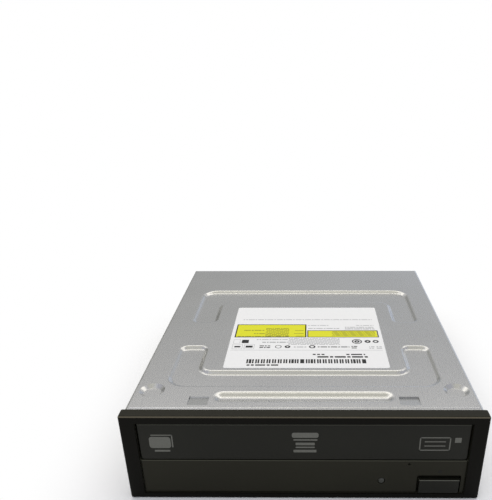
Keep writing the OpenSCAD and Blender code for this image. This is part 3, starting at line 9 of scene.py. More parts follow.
import bmesh
import bpy
from bpy.props import FloatProperty, PointerProperty, StringProperty
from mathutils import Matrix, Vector


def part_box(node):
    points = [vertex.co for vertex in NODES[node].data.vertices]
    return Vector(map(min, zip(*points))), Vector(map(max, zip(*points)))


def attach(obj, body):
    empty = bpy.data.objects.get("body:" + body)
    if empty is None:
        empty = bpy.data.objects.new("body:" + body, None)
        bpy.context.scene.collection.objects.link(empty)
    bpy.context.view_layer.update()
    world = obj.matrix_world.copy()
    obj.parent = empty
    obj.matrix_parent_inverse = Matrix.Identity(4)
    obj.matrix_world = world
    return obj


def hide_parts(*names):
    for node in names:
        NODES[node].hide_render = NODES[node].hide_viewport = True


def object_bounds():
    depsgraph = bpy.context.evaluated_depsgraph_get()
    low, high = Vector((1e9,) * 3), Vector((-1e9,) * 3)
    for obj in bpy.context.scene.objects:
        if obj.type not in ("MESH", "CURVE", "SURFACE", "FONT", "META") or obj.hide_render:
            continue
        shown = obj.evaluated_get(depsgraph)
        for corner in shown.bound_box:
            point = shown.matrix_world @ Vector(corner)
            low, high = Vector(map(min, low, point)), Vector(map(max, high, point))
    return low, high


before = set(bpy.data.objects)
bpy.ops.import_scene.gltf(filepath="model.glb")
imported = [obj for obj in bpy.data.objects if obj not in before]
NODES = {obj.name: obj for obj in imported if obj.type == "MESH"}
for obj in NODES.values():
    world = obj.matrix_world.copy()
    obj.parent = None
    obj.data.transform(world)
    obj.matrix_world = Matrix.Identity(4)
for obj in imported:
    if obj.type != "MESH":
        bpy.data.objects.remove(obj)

bl_info = {
    "name": "Internal disc drive finish",
    "version": (1, 0, 0),
    "blender": (4, 5, 0),
    "location": "View3D > Sidebar > Disc drive",
    "description": "Models the front, the label's print and the finishes of an internal disc drive",
    "category": "Object",
}

MM = 0.001
CAD_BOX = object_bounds()
# The cover's front edge, from which depths are counted, in mm
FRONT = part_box("top_cover")[0].y / MM
# How far a cutter reaches past the surface that it opens, in mm
OVER = 2.0
# How far print on the front stands proud of its face and sinks into it, in mm
PRINT_PROUD = 0.02
PRINT_SUNK = 0.06


# Sizes and colours that a user would change


class FrontSettings(bpy.types.PropertyGroup):
    """Sizes and colours of the moulded front."""

    edge: FloatProperty(
        name="Outer edge rounding", description="Radius of the bezel's outer edges", default=0.9 * MM,
        min=0.3 * MM, max=1.4 * MM, unit="LENGTH")
    field_depth: FloatProperty(
        name="Field depth", description="Depth of the field inside the bezel's rim", default=0.7 * MM,
        min=0.4 * MM, max=1 * MM, unit="LENGTH")
    door_gap: FloatProperty(
        name="Door gap", description="Gap round the tray door", default=0.65 * MM, min=0.4 * MM, max=0.8 * MM,
        unit="LENGTH")
    door_corner: FloatProperty(
        name="Door corner", description="Radius of the door's lower corners", default=1.3 * MM, min=0.4 * MM,
        max=2 * MM, unit="LENGTH")
    groove: FloatProperty(
        name="Groove", description="Width and depth of the groove round the lower panel", default=0.5 * MM,
        min=0.2 * MM, max=0.8 * MM, unit="LENGTH")
    pin_pitch: FloatProperty(
        name="Pin hole from button", description="Distance from the button's centre to the pin hole",
        default=13.15 * MM, min=12 * MM, max=15 * MM, unit="LENGTH")
    pin_height: FloatProperty(
        name="Pin hole height", description="Height of the emergency pin hole",
        default=17.9 * MM, min=16 * MM, max=18 * MM, unit="LENGTH")
    pin_radius: FloatProperty(
        name="Pin hole radius", description="Radius of the emergency pin hole",
        default=0.55 * MM, min=0.4 * MM, max=0.8 * MM, unit="LENGTH")
    frame_colour: StringProperty(
        name="Bezel colour", description="Colour of the bezel's panel, top and sides", default="#26251E")
    # The rim's front face is painted darker than the field as painted shade
    rim_shade_colour: StringProperty(
        name="Rim colour", description="Colour of the polished rim's front face", default="#0C0B07")
    door_colour: StringProperty(
        name="Door colour", description="Colour of the tray door and the button", default="#171711")
    print_colour: StringProperty(
        name="Door print colour", description="Colour of the shapes printed on the door", default="#5C5C55")


class LabelSettings(bpy.types.PropertyGroup):
    """Colours of the paper label and its print."""

    paper: StringProperty(name="Paper", description="Colour of the coated paper", default="#F0F0EE")
    yellow: StringProperty(name="Yellow ink", description="Colour of the yellow fields", default="#DBDA14")
    olive: StringProperty(name="Olive ink", description="Colour of the bars on yellow", default="#85831A")
    grey: StringProperty(name="Grey ink", description="Colour of the grey rows", default="#A3A4A4")
    dark: StringProperty(name="Dark ink", description="Colour of the bars and outlines", default="#1C1C1A")
    ink_height: FloatProperty(
        name="Ink height", description="Thickness of the print",
        default=0.02 * MM, min=0.01 * MM, max=0.05 * MM, unit="LENGTH")


class MetalSettings(bpy.types.PropertyGroup):
    """Colours and finish of the metal pieces."""

    zinc: StringProperty(name="Zinc sheet", description="Lighter tone of the cover", default="#C4C4C2")
    zinc_dark: StringProperty(name="Sheet clouds", description="Darker tone of the cover", default="#BABAB8")
    zinc_roughness: FloatProperty(
        name="Sheet roughness", description="Roughness of the zinc plating", default=0.27, min=0.1, max=0.8,
        subtype="FACTOR")
    nickel: StringProperty(name="Nickel", description="Colour of the plated screws", default="#C8C6C0")
    bead_height: FloatProperty(
        name="Front bead height", description="Height of the bead above the cover's front edge",
        default=0.22 * MM, min=0.05 * MM, max=0.3 * MM, unit="LENGTH")


class StageSettings(bpy.types.PropertyGroup):
    """Floor, lamps and camera."""

    floor: StringProperty(name="Floor", description="Colour of the floor", default="#FAFAFA")
    sky: FloatProperty(name="Sky", description="Strength of the even light", default=1.2, min=0, max=2)
    strip: FloatProperty(
        name="Strip lamp", description="Watts of the long lamp above and behind",
        default=2.6, min=0, max=20)
    fill: FloatProperty(
        name="Fill lamp", description="Watts of the soft lamp in front", default=1.6, min=0, max=20)
    lens: FloatProperty(
        name="Lens", description="Focal length of the camera", default=40.93, min=20, max=100, unit="CAMERA")


# Materials


def linear(code):
    """An sRGB hex colour as linear values."""
    parts = [int(code[i:i + 2], 16) / 255 for i in (1, 3, 5)]
    return [c / 12.92 if c <= 0.04045 else ((c + 0.055) / 1.055) ** 2.4 for c in parts] + [1]


def add_node(tree, kind, settings=None, links=None):
    """Adds one shader node of a kind, sets its values and links its inputs."""
    node = tree.nodes.new("ShaderNode" + kind)
    for key, value in (settings or {}).items():
        if isinstance(key, int) or key in node.inputs:
            node.inputs[key].default_value = value
        else:
            setattr(node, key, value)
    for key, source in (links or {}).items():
        tree.links.new(source, node.inputs[key])
    return node


def start_material(name, colour, roughness, metallic=0, specular=0.5):
    """A new material, its node tree, its shader and the piece's own coordinates."""
    material = bpy.data.materials.new(name)
    material.use_nodes = True
    tree = material.node_tree
    shader = tree.nodes["Principled BSDF"]
    shader.inputs["Base Color"].default_value = linear(colour)
    shader.inputs["Roughness"].default_value = roughness
    shader.inputs["Metallic"].default_value = metallic
    shader.inputs["Specular IOR Level"].default_value = specular
    place = add_node(tree, "TexCoord").outputs["Object"]
    return material, tree, shader, place


def mix_tones(tree, fac, first, second):
    """A colour between two tones, each a hex colour or the output of a node."""
    mix = add_node(tree, "Mix", {"data_type": "RGBA"}, {0: fac})
    for slot, tone in ((6, first), (7, second)):
        if isinstance(tone, str):
            mix.inputs[slot].default_value = linear(tone)
        else:
            tree.links.new(tone, mix.inputs[slot])
    return mix.outputs[2]


def blend_colour(tree, shader, fac, first, second):
    """Colours the surface from one tone to another by a pattern."""
    tree.links.new(mix_tones(tree, fac, first, second), shader.inputs["Base Color"])


def vary_roughness(tree, shader, fac, low, high):
    """Makes the gloss follow a pattern."""
    span = add_node(tree, "MapRange", {"To Min": low, "To Max": high}, {"Value": fac})
    tree.links.new(span.outputs["Result"], shader.inputs["Roughness"])


def raise_surface(tree, shader, height, depth, strength):
    """Bumps the surface by a pattern of a real depth in metres."""
    bump = add_node(tree, "Bump", {"Distance": depth, "Strength": strength}, {"Height": height})
    tree.links.new(bump.outputs["Normal"], shader.inputs["Normal"])


def zinc_sheet():
    """Electro-galvanised steel sheet: an even satin grey with a fine rolled grain and faint clouds."""
    look = bpy.context.scene.drive_metal
    gloss = look.zinc_roughness
    material, tree, shader, place = start_material("zinc_plated_steel", look.zinc, gloss, 0.9)
    cloud = add_node(tree, "TexNoise", {"Scale": 28, "Detail": 3}, {"Vector": place})
    stretched = add_node(tree, "Mapping", {"Scale": (1, 0.04, 1)}, {"Vector": place})
    # The rolled grain is drawn about 0.4 mm wide, coarser than the real one, so that it shows
    grain = add_node(
        tree, "TexNoise", {"Scale": 2600, "Detail": 2}, {"Vector": stretched.outputs["Vector"]})
    blend_colour(tree, shader, cloud.outputs["Fac"], look.zinc_dark, look.zinc)
    vary_roughness(tree, shader, grain.outputs["Fac"], gloss - 0.02, gloss + 0.03)
    raise_surface(tree, shader, grain.outputs["Fac"], 0.0004 * MM, 0.2)
    return material


def paint_highlight_band(tree, height, edge, tone):
    """Paints a highlight along an edge as a lighter band, at its height in mm, half its width in mm and its
    tone.
    """
    middle, half, light = edge
    near = add_node(tree, "Math", {"operation": "COMPARE", 1: middle * MM, 2: half * MM}, {0: height})
    return mix_tones(tree, near.outputs[0], tone, light)


def grained_abs(name, colour, lighter, gloss=0.4, specular=0.15, edge=None, rim=None):
    """Moulded ABS with the mould's fine spark-eroded grain, a painted highlight along an edge, and a rim
    whose front face is painted darker as shade, with a painted highlight on its top front edge.
    """
    material, tree, shader, place = start_material(name, colour, gloss, 0, specular)
    # The grit is drawn about 0.3 mm wide, coarser than the real one, so that it shows
    grit = add_node(tree, "TexNoise", {"Scale": 3200, "Detail": 2}, {"Vector": place})
    flow = add_node(tree, "TexNoise", {"Scale": 40, "Detail": 2}, {"Vector": place})
    tone = mix_tones(tree, flow.outputs["Fac"], colour, lighter)
    parts = add_node(tree, "SeparateXYZ", None, {0: place})
    # A lighter band at one height stands in for the highlight on a rounded edge: painted highlight
    if edge:
        tone = paint_highlight_band(tree, parts.outputs["Z"], edge, tone)
    # The rim's front face takes a darker tone as painted shade, and its top front edge a painted highlight
    if rim:
        depth, shaded, rim_highlight = rim
        inside = add_node(
            tree, "MapRange", {"From Min": depth, "From Max": depth + 0.1 * MM},
            {"Value": parts.outputs["Y"]})
        tone = mix_tones(tree, inside.outputs["Result"], shaded, tone)
        tone = paint_highlight_band(tree, parts.outputs["Z"], rim_highlight, tone)
    tree.links.new(tone, shader.inputs["Base Color"])
    vary_roughness(tree, shader, grit.outputs["Fac"], gloss - 0.06, gloss + 0.08)
    raise_surface(tree, shader, grit.outputs["Fac"], 0.012 * MM, 0.3)
    return material


def smooth_moulding(name, colour, gloss, flow_tone):
    """Smooth injection moulding, such as acetal or glass-filled resin, with faint flow clouds."""
    material, tree, shader, place = start_material(name, colour, gloss)
    flow = add_node(tree, "TexNoise", {"Scale": 90, "Detail": 4, "Distortion": 0.6}, {"Vector": place})
    blend_colour(tree, shader, flow.outputs["Fac"], colour, flow_tone)
    vary_roughness(tree, shader, flow.outputs["Fac"], gloss - 0.05, gloss + 0.06)
    raise_surface(tree, shader, flow.outputs["Fac"], 0.01 * MM, 0.3)
    return material


def bright_metal(name, colour, roughness, grain_mm=0.4, lines=False):
    """Plated, drawn or die-cast metal: metallic, with marks of a real size from how it was made."""
    material, tree, shader, place = start_material(name, colour, roughness, 1)
    scale = (1, 0.03, 1) if lines else (1, 1, 1)
    stretched = add_node(tree, "Mapping", {"Scale": scale}, {"Vector": place})
    marks = add_node(
        tree, "TexNoise", {"Scale": 1.0 / (grain_mm * MM), "Detail": 3},
        {"Vector": stretched.outputs["Vector"]})
    vary_roughness(tree, shader, marks.outputs["Fac"], roughness - 0.06, roughness + 0.1)
    raise_surface(tree, shader, marks.outputs["Fac"], 0.008 * MM, 0.4)
    return material


def coated_paper():
    """Coated label paper: bright, slightly glossy, with a faint fibre texture."""
    look = bpy.context.scene.drive_label
    material, tree, shader, place = start_material("coated_label_paper", look.paper, 0.5, 0, 0.3)
    fibre = add_node(tree, "TexNoise", {"Scale": 1500, "Detail": 4}, {"Vector": place})
    blend_colour(tree, shader, fibre.outputs["Fac"], "#E9E9E9", look.paper)
    raise_surface(tree, shader, fibre.outputs["Fac"], 0.006 * MM, 0.3)
    return material


def printing_ink(name, colour, lighter):
    """Offset ink on paper or pad print on plastic: flat colour broken by a screen, drawn coarse to show."""
    material, tree, shader, place = start_material(name, colour, 0.45, 0, 0.2)
    screen = add_node(tree, "TexVoronoi", {"Scale": 2200}, {"Vector": place})
    blend_colour(tree, shader, screen.outputs["Distance"], colour, lighter)
    return material


def solder_mask():
    """Glass-fibre board under green solder mask, with tracks and pads that show through it."""
    material, tree, shader, place = start_material("green_circuit_board", "#20502F", 0.32)
    tracks = add_node(
        tree, "TexBrick",
        {"Scale": 190, "Mortar Size": 0.05, "Brick Width": 1.6, "Row Height": 0.35, "offset": 0.37},
        {"Vector": place})
    weave = add_node(tree, "TexNoise", {"Scale": 700, "Detail": 3}, {"Vector": place})
    pads = add_node(tree, "TexVoronoi", {"Scale": 240}, {"Vector": place})
    dots = add_node(
        tree, "MapRange", {"From Min": 0.16, "From Max": 0.2, "To Min": 1, "To Max": 0},
        {"Value": pads.outputs["Distance"]})
    green = mix_tones(tree, tracks.outputs["Fac"], "#1E4B2C", "#2F6B40")
    blend_colour(tree, shader, dots.outputs["Result"], green, "#B9BBB4")
    raise_surface(tree, shader, weave.outputs["Fac"], 0.02 * MM, 0.3)
    return material


def ribbon_film():
    """Flat flexible cable: white film over parallel tinned conductors, 1 mm apart."""
    material, tree, shader, place = start_material("ribbon_cable_film", "#D9DCDD", 0.35)
    lanes = add_node(
        tree, "TexWave", {"wave_type": "BANDS", "bands_direction": "X", "Scale": 160}, {"Vector": place})
    blend_colour(tree, shader, lanes.outputs["Fac"], "#B9C0C4", "#EEF0F0")
    raise_surface(tree, shader, lanes.outputs["Fac"], 0.03 * MM, 0.5)
    return material


def enamelled_copper():
    """Stator: copper windings under clear enamel on a laminated core, wire lines 0.25 mm apart."""
    material, tree, shader, place = start_material("enamelled_copper_winding", "#A8602B", 0.35, 0.9)
    wires = add_node(
        tree, "TexWave", {"wave_type": "RINGS", "rings_direction": "Z", "Scale": 640}, {"Vector": place})
    blend_colour(tree, shader, wires.outputs["Fac"], "#7A431D", "#C97B3C")
    raise_surface(tree, shader, wires.outputs["Fac"], 0.05 * MM, 0.6)
    return material


def clear_optic(name, colour, roughness, clearness=0.75):
    """Clear moulded plastic or coated glass, seen through with a tint."""
    material, tree, shader, place = start_material(name, colour, roughness)
    shader.inputs["Transmission Weight"].default_value = clearness
    haze = add_node(tree, "TexNoise", {"Scale": 900, "Detail": 2}, {"Vector": place})
    vary_roughness(tree, shader, haze.outputs["Fac"], roughness, roughness + 0.12)
    return material


def soft_rubber(name, colour):
    """Moulded rubber: dull, with a fine powdery surface."""
    material, tree, shader, place = start_material(name, colour, 0.72)
    shader.inputs["Sheen Weight"].default_value = 0.15
    powder = add_node(tree, "TexNoise", {"Scale": 1800, "Detail": 3}, {"Vector": place})
    vary_roughness(tree, shader, powder.outputs["Fac"], 0.62, 0.82)
    raise_surface(tree, shader, powder.outputs["Fac"], 0.02 * MM, 0.4)
    return material


def finish(material, *names):
    """Gives carried-over pieces a material."""
    for name in names:
        mesh = NODES[name].data
        mesh.materials.clear()
        mesh.materials.append(material)
        for polygon in mesh.polygons:
            polygon.material_index = 0


# Modelling steps


def select_none():
    """Deselects every object."""
    bpy.ops.object.select_all(action="DESELECT")


def select_only(*pieces):
    """Selects these pieces alone and makes the first one active."""
    select_none()
    for piece in pieces:
        piece.select_set(True)
    bpy.context.view_layer.objects.active = pieces[0]


def smooth(piece):
    """Shades a piece smooth up to edges sharper than 32 degrees."""
    select_only(piece)
    bpy.ops.object.shade_smooth_by_angle(angle=math.radians(32))


def point(x, depth, z):
    """A place in millimetres, its depth counted from the cover's front edge, in metres."""
    return Vector((x * MM, (FRONT + depth) * MM, z * MM))


def box_mm(name):
    """A node's lowest and highest corners in millimetres, depth counted from the cover's front edge."""
    low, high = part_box(name)
    shift = Vector((0, FRONT, 0))
    return low / MM - shift, high / MM - shift


def middle_mm(name):
    """The middle of a node's box in millimetres."""
    low, high = box_mm(name)
    return (low + high) / 2


def settle(name):
    """Names the newest piece and puts its place and size into its mesh."""
    piece = bpy.context.active_object
    piece.name = name
    select_only(piece)
    bpy.ops.object.transform_apply(location=True, rotation=True, scale=True)
    return piece


def add_block(name, low, high):
    """A block between two corners in millimetres."""
    first, last = point(*low), point(*high)
    select_none()
    bpy.ops.mesh.primitive_cube_add(size=1, location=(first + last) / 2, scale=last - first)
    return settle(name)


def add_rod(name, place, length, radius, axis="Y", sides=48):
    """A rod along one axis, its middle at a place in millimetres."""
    turns = {"X": (0, math.pi / 2, 0), "Y": (math.pi / 2, 0, 0), "Z": (0, 0, 0)}
    select_none()
    bpy.ops.mesh.primitive_cylinder_add(
        vertices=sides, radius=radius * MM, depth=length * MM, location=point(*place), rotation=turns[axis])
    return settle(name)


def add_depth_rod(x, z, start, end, radius):
    """A rod along the drive's depth, as a pin or as the cutter of a hole."""
    return add_rod("rod", (x, (start + end) / 2, z), end - start, radius)


def add_mark(face, x0, z0, x1, z1):
    """One printed shape on a front face at its depth, in millimetres."""
    return add_block("mark", (x0, face - PRINT_PROUD, z0), (x1, face + PRINT_SUNK, z1))


def copy_moved(piece, x):
    """A copy of a piece with its own mesh, moved sideways in millimetres."""
    select_only(piece)
    bpy.ops.object.duplicate()
    bpy.ops.transform.translate(value=(x * MM, 0, 0))
    return settle(piece.name)


def use_modifier(piece, kind, **values):
    """Adds a modifier with its values and applies it."""
    select_only(piece)
    modifier = piece.modifiers.new(kind.title(), kind)
    for key, value in values.items():
        setattr(modifier, key, value)
    bpy.ops.object.modifier_apply(modifier=modifier.name)
    return piece


def round_edges(piece, radius, segments=3, degrees=40):
    """Rounds every edge sharper than an angle."""
    return use_modifier(
        piece, "BEVEL", width=radius, segments=segments, limit_method="ANGLE",
        angle_limit=math.radians(degrees))


def edit_mesh(piece, action="SELECT", kind="VERT"):
    """Opens a piece in edit mode with all or none of its mesh selected."""
    select_only(piece)
    bpy.ops.object.mode_set(mode="EDIT")
    bpy.ops.mesh.select_mode(type=kind)
    bpy.ops.mesh.select_all(action=action)


def round_corners(piece, axis, radius, segments=6, above=-math.inf, below=math.inf):
    """Rounds the edges that run along one axis, 0 to 2, where their middle lies between two heights in mm."""
    edit_mesh(piece, "DESELECT", "EDGE")
    shape = bmesh.from_edit_mesh(piece.data)
    for edge in shape.edges:
        first, last = (corner.co for corner in edge.verts)
        along = (last - first).normalized()
        if abs(along[axis]) > 0.99 and above * MM < (first.z + last.z) / 2 < below * MM:
            edge.select_set(True)
    bmesh.update_edit_mesh(piece.data)
    bpy.ops.mesh.bevel(offset=radius, segments=segments, affect="EDGES")
    bpy.ops.object.mode_set(mode="OBJECT")
    return piece


def carve(piece, *cutters):
    """Takes cutters out of a piece and removes them."""
    for cutter in cutters:
        use_modifier(piece, "BOOLEAN", operation="DIFFERENCE", solver="EXACT", object=cutter)
        bpy.data.objects.remove(cutter)
    return piece


def weld(piece, *others):
    """Joins other closed pieces to one by union and removes them."""
    for other in others:
        use_modifier(piece, "BOOLEAN", operation="UNION", solver="EXACT", object=other)
        bpy.data.objects.remove(other)


def cut_plane(piece, place, normal):
    """Cuts off what lies on the normal's side of a plane and closes the cut."""
    edit_mesh(piece)
    bpy.ops.mesh.bisect(plane_co=place, plane_no=normal, use_fill=True, clear_outer=True)
    bpy.ops.object.mode_set(mode="OBJECT")


def tidy_mesh(piece):
    """Merges doubled points and turns the faces outwards."""
    edit_mesh(piece)
    bpy.ops.mesh.remove_doubles(threshold=0.005 * MM)
    bpy.ops.mesh.normals_make_consistent(inside=False)
    bpy.ops.object.mode_set(mode="OBJECT")


def join(name, pieces):
    """Joins separate shapes of one finish into one piece."""
    select_only(*pieces)
    bpy.ops.object.join()
    pieces[0].name = name
    return pieces[0]


def dress(piece, material, body, slot, *nodes):
    """Gives a new piece its material and the body that it moves with. The slot argument is not used."""
    piece.data.materials.clear()
    piece.data.materials.append(material)
    smooth(piece)
    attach(piece, body)
    if nodes:
        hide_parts(*nodes)


def print_cells(low, high, columns, rows, ink, keep):
    """Printed bars: a grid whose cells are kept by a rule, then raised by the ink's height."""
    first, last = point(*low), point(*high)
    size = last - first
    select_none()
    bpy.ops.mesh.primitive_grid_add(
        x_subdivisions=columns, y_subdivisions=rows, size=1, location=(first + last) / 2)
    bpy.ops.transform.resize(value=(size.x, size.y, 1))
    piece = settle("cells")
    edit_mesh(piece, "DESELECT", "FACE")
    shape = bmesh.from_edit_mesh(piece.data)
    for face in shape.faces:
        middle = face.calc_center_median() - first
        column = int(middle.x / size.x * columns)
        row = int(middle.y / size.y * rows)
        if not keep(column, row):
            face.select_set(True)
    bmesh.update_edit_mesh(piece.data)
    bpy.ops.mesh.delete(type="FACE")
    bpy.ops.mesh.select_all(action="SELECT")
    bpy.ops.mesh.extrude_region_move(TRANSFORM_OT_translate={"value": (0, 0, ink)})
    bpy.ops.mesh.select_all(action="SELECT")
    bpy.ops.mesh.normals_make_consistent(inside=False)
    bpy.ops.object.mode_set(mode="OBJECT")
    return piece


# Operators


class DRIVE_OT_front_bezel(bpy.types.Operator):
    """Model the bezel with its field, door opening, button pocket and holes"""

    bl_idname = "drive.front_bezel"
    bl_label = "Front bezel"

    def carve_front(self, bezel, look):
        """Opens the field, the door's place, the button's pocket and the groove round the lower panel."""
        front = self.front - OVER
        door_low, door_high = box_mm("tray_door")
        cap_low, cap_high = box_mm("eject_button")
        side = self.side
        bottom = self.bottom
        top = door_high.z + look.door_gap / MM
        door_back = door_high.y + 0.2
        pocket_left = cap_low.x - 1
        pocket_right = cap_high.x + 0.6
        pocket_back = self.field + 2.3
        pocket_top = cap_high.z + 2
        lap = 2.6
        inner_low = self.panel_top + 1
        inner_high = top - 1.6
        recess = add_block("cut", (-side, front, bottom), (side, self.field, top))
        opening = add_block("cut", (-side, front, self.panel_top), (side, door_back, top))
        pocket = add_block("cut", (pocket_left, front, bottom), (pocket_right, pocket_back, pocket_top))
        round_corners(opening, 1, look.door_corner, 6, below=door_low.z + 1)
        round_corners(pocket, 1, 0.9 * MM, 4, above=cap_high.z)
        inner = add_block("cut", (lap - side, front, inner_low), (side - lap, OVER, inner_high))
        carve(bezel, recess, opening, pocket, inner)

        groove = look.groove / MM
        start = self.field - 0.3
        end = self.field + groove
        left = add_block("cut", (-side, start, bottom), (groove - side, end, self.panel_top + OVER))
        right = add_block("cut", (side - groove, start, bottom), (side, end, self.panel_top + OVER))
        below = add_block("cut", (groove / 2 - side, start, bottom), (cap_low.x, end, bottom + groove))
        carve(bezel, left, right, below)

    def carve_holes(self, bezel, look):
        """Opens the holes for the light pipe, the emergency pin and the switch's stem."""
        pipe_low, pipe_high = box_mm("led_lens")
        pipe_radius = (pipe_high.x - pipe_low.x) / 2 + 0.2
        pipe = (pipe_low + pipe_high) / 2
        pin_x = middle_mm("eject_button").x - look.pin_pitch / MM
        stem = middle_mm("switch_stem")
        stem_radius = 1.8
        carve(
            bezel,
            add_depth_rod(pipe.x, pipe.z, self.front - OVER, OVER, pipe_radius),
            add_depth_rod(pin_x, look.pin_height / MM, self.front - OVER, OVER, look.pin_radius / MM),
            add_depth_rod(stem.x, stem.z, self.front + 1, OVER, stem_radius),
        )

    def carve_back(self, bezel):
        """Hollows the lower panel from behind and clears the drive gear."""
        door_low, door_high = box_mm("tray_door")
        panel_back = self.field + 1.9
        floor = self.bottom + 1.2
        pipe_x = middle_mm("led_lens").x
        pipe_wall = 3
        left_top = self.panel_top - 2.4
        right_top = self.panel_top - 4.4
        pocket_side = box_mm("eject_button")[0].x - 2.4
        gear_x = middle_mm("drive_gear").x
        gear_left = gear_x - 11.7
        gear_right = gear_x - 6.4
        gear_low = door_low.z - 0.6
        gear_high = door_low.z + 4
        carve(
            bezel,
            add_block("cut", (-self.side, panel_back, floor), (pipe_x - pipe_wall, OVER, left_top)),
            add_block("cut", (pipe_x + pipe_wall, panel_back, floor), (pocket_side, OVER, right_top)),
            add_block("cut", (gear_left, door_high.y, gear_low), (gear_right, OVER, gear_high)),
        )

    def add_latch(self, turn):
        """The latch on one side, -1 or 1: a springy arm with a sloping hook."""
        frame_side = box_mm("main_frame")[1].x
        gap = 0.2
        wall = 1.4
        arm_front = -1
        arm_back = 9
        arm_low = 12
        arm_high = 22
        reach = 0.85
        hook_front = 4.6
        hook_length = 4
        hook_inset = 1.6
        outer = turn * (frame_side - gap)
        inner = outer - turn * wall
        tip = turn * (frame_side + reach)
        arm = add_block(
            "latch", (min(outer, inner), arm_front, arm_low), (max(outer, inner), arm_back, arm_high))
        hook = add_block(
            "hook", (min(outer, tip), hook_front, arm_low + hook_inset),
            (max(outer, tip), hook_front + hook_length, arm_high - hook_inset))
        cut_plane(hook, point(tip, hook_front, 0), (turn * hook_length, reach + gap, 0))
        weld(arm, hook)
        return round_edges(arm, 0.15 * MM, 2, 30)

    def execute(self, context):
        look = context.scene.drive_front
        low, high = box_mm("front_bezel")
        door_low, door_high = box_mm("tray_door")
        self.front = low.y
        self.field = low.y + look.field_depth / MM
        self.side = door_high.x + look.door_gap / MM
        self.bottom = box_mm("eject_button")[0].z - 0.1
        self.panel_top = door_low.z - 0.4

        bezel = add_block("moulded_bezel", low, (high.x, OVER, high.z))
        round_edges(bezel, look.edge, 5)
        # Its rear face lies at depth 0
        cut_plane(bezel, point(0, 0, 0), (0, 1, 0))
        self.carve_front(bezel, look)
        self.carve_holes(bezel, look)
        self.carve_back(bezel)
        tidy_mesh(bezel)
        bezel = join("moulded_bezel", [bezel, self.add_latch(-1), self.add_latch(1)])
        # Painted highlights along the lower panel's top edge and the rim's top front edge; the rim's front
        # face is painted darker as shade
        edge = (self.panel_top - 0.2, 0.2, "#45453B")
        rim_highlight = (high.z - 0.45, 0.25, "#5C5648")
        rim = (point(0, low.y + 0.3, 0).y, look.rim_shade_colour, rim_highlight)
        skin = grained_abs("black_abs_bezel", look.frame_colour, "#2A2921", 0.35, 0.06, edge, rim)
        dress(bezel, skin, "chassis", "black_abs", "front_bezel")
        return {"FINISHED"}


class DRIVE_OT_tray_door(bpy.types.Operator):
    """Model the tray's door and the plain grey shapes printed on it"""

    bl_idname = "drive.tray_door"
    bl_label = "Tray door"

    def mark(self, x0, z0, x1, z1, corner=0.25):
        """One printed shape on the door with round corners, in millimetres."""
        shape = add_mark(self.face, x0, z0, x1, z1)
        widest = 0.49 * min(x1 - x0, z1 - z0)
        return round_corners(shape, 1, min(corner, widest) * MM, 4)

    def add_door(self, look):
        """The door with hollows between ribs in its back."""
        low, high = box_mm("tray_door")
        door = add_block("tray_door_moulding", low, high)
        round_corners(door, 1, look.door_corner, 6, below=(low.z + high.z) / 2)
        round_edges(door, 0.35 * MM, 4, 60)
        pitch = 18
        half = 7
        first_hollow = 15
        margin = 12
        rim = 2
        face_wall = 1.7
        hollow = add_block(
            "cut", (-half, low.y + face_wall, low.z + rim), (half, high.y + OVER, high.z - rim))
        round_corners(hollow, 1, 0.8 * MM, 3)
        for side in (-1, 1):
            for k in range(int((high.x - margin) / pitch)):
                carve(door, copy_moved(hollow, side * (first_hollow + pitch * k)))
        bpy.data.objects.remove(hollow)
        tidy_mesh(door)
        # Painted highlight along the door's top edge
        edge = (high.z - 0.2, 0.2, "#3C3C34")
        skin = grained_abs("black_abs_door", look.door_colour, "#1B1B15", 0.4, 0.15, edge)
        dress(door, skin, "disc_tray", "black_abs", "tray_door")

    def execute(self, context):
        look = context.scene.drive_front
        self.add_door(look)
        low, high = box_mm("tray_door")
        self.face = low.y
        left = low.x + 4.2
        right = high.x - 20.2
        marks = [
            self.mark(left, 26, left + 8.8, 31.6, 1.2),
            self.mark(left + 1.8, 24.2, left + 8.2, 25.1),
            self.mark(left + 0.9, 32.2, left + 9.6, 32.7),
            self.mark(left + 9.2, 26.4, left + 9.7, 32.7),
            self.mark(-4.8, 31.3, 6, 33.8, 0.9),
            self.mark(-4.2, 29.9, 5.6, 30.6, 0.35),
            self.mark(-3.3, 27.6, 4.5, 28.9),
            self.mark(-3.3, 26.2, 4.5, 26.9),
            self.mark(-4.2, 24, 5.2, 25.3),
        ]
        for x0, z0, x1, z1 in (
                (0, 31.2, 12.6, 31.7), (0, 25, 12.6, 25.5), (0, 25, 0.5, 31.7),
                (12.1, 25, 12.6, 31.7), (2, 29.2, 10.6, 29.7), (2, 27.1, 10.6, 27.6),
                (14.2, 29, 16.8, 31.4)):
            marks.append(self.mark(right + x0, z0, right + x1, z1, 0.2))
        ink = printing_ink("grey_pad_print", look.print_colour, "#65655E")
        dress(join("door_print", marks), ink, "disc_tray", "black_abs")
        return {"FINISHED"}


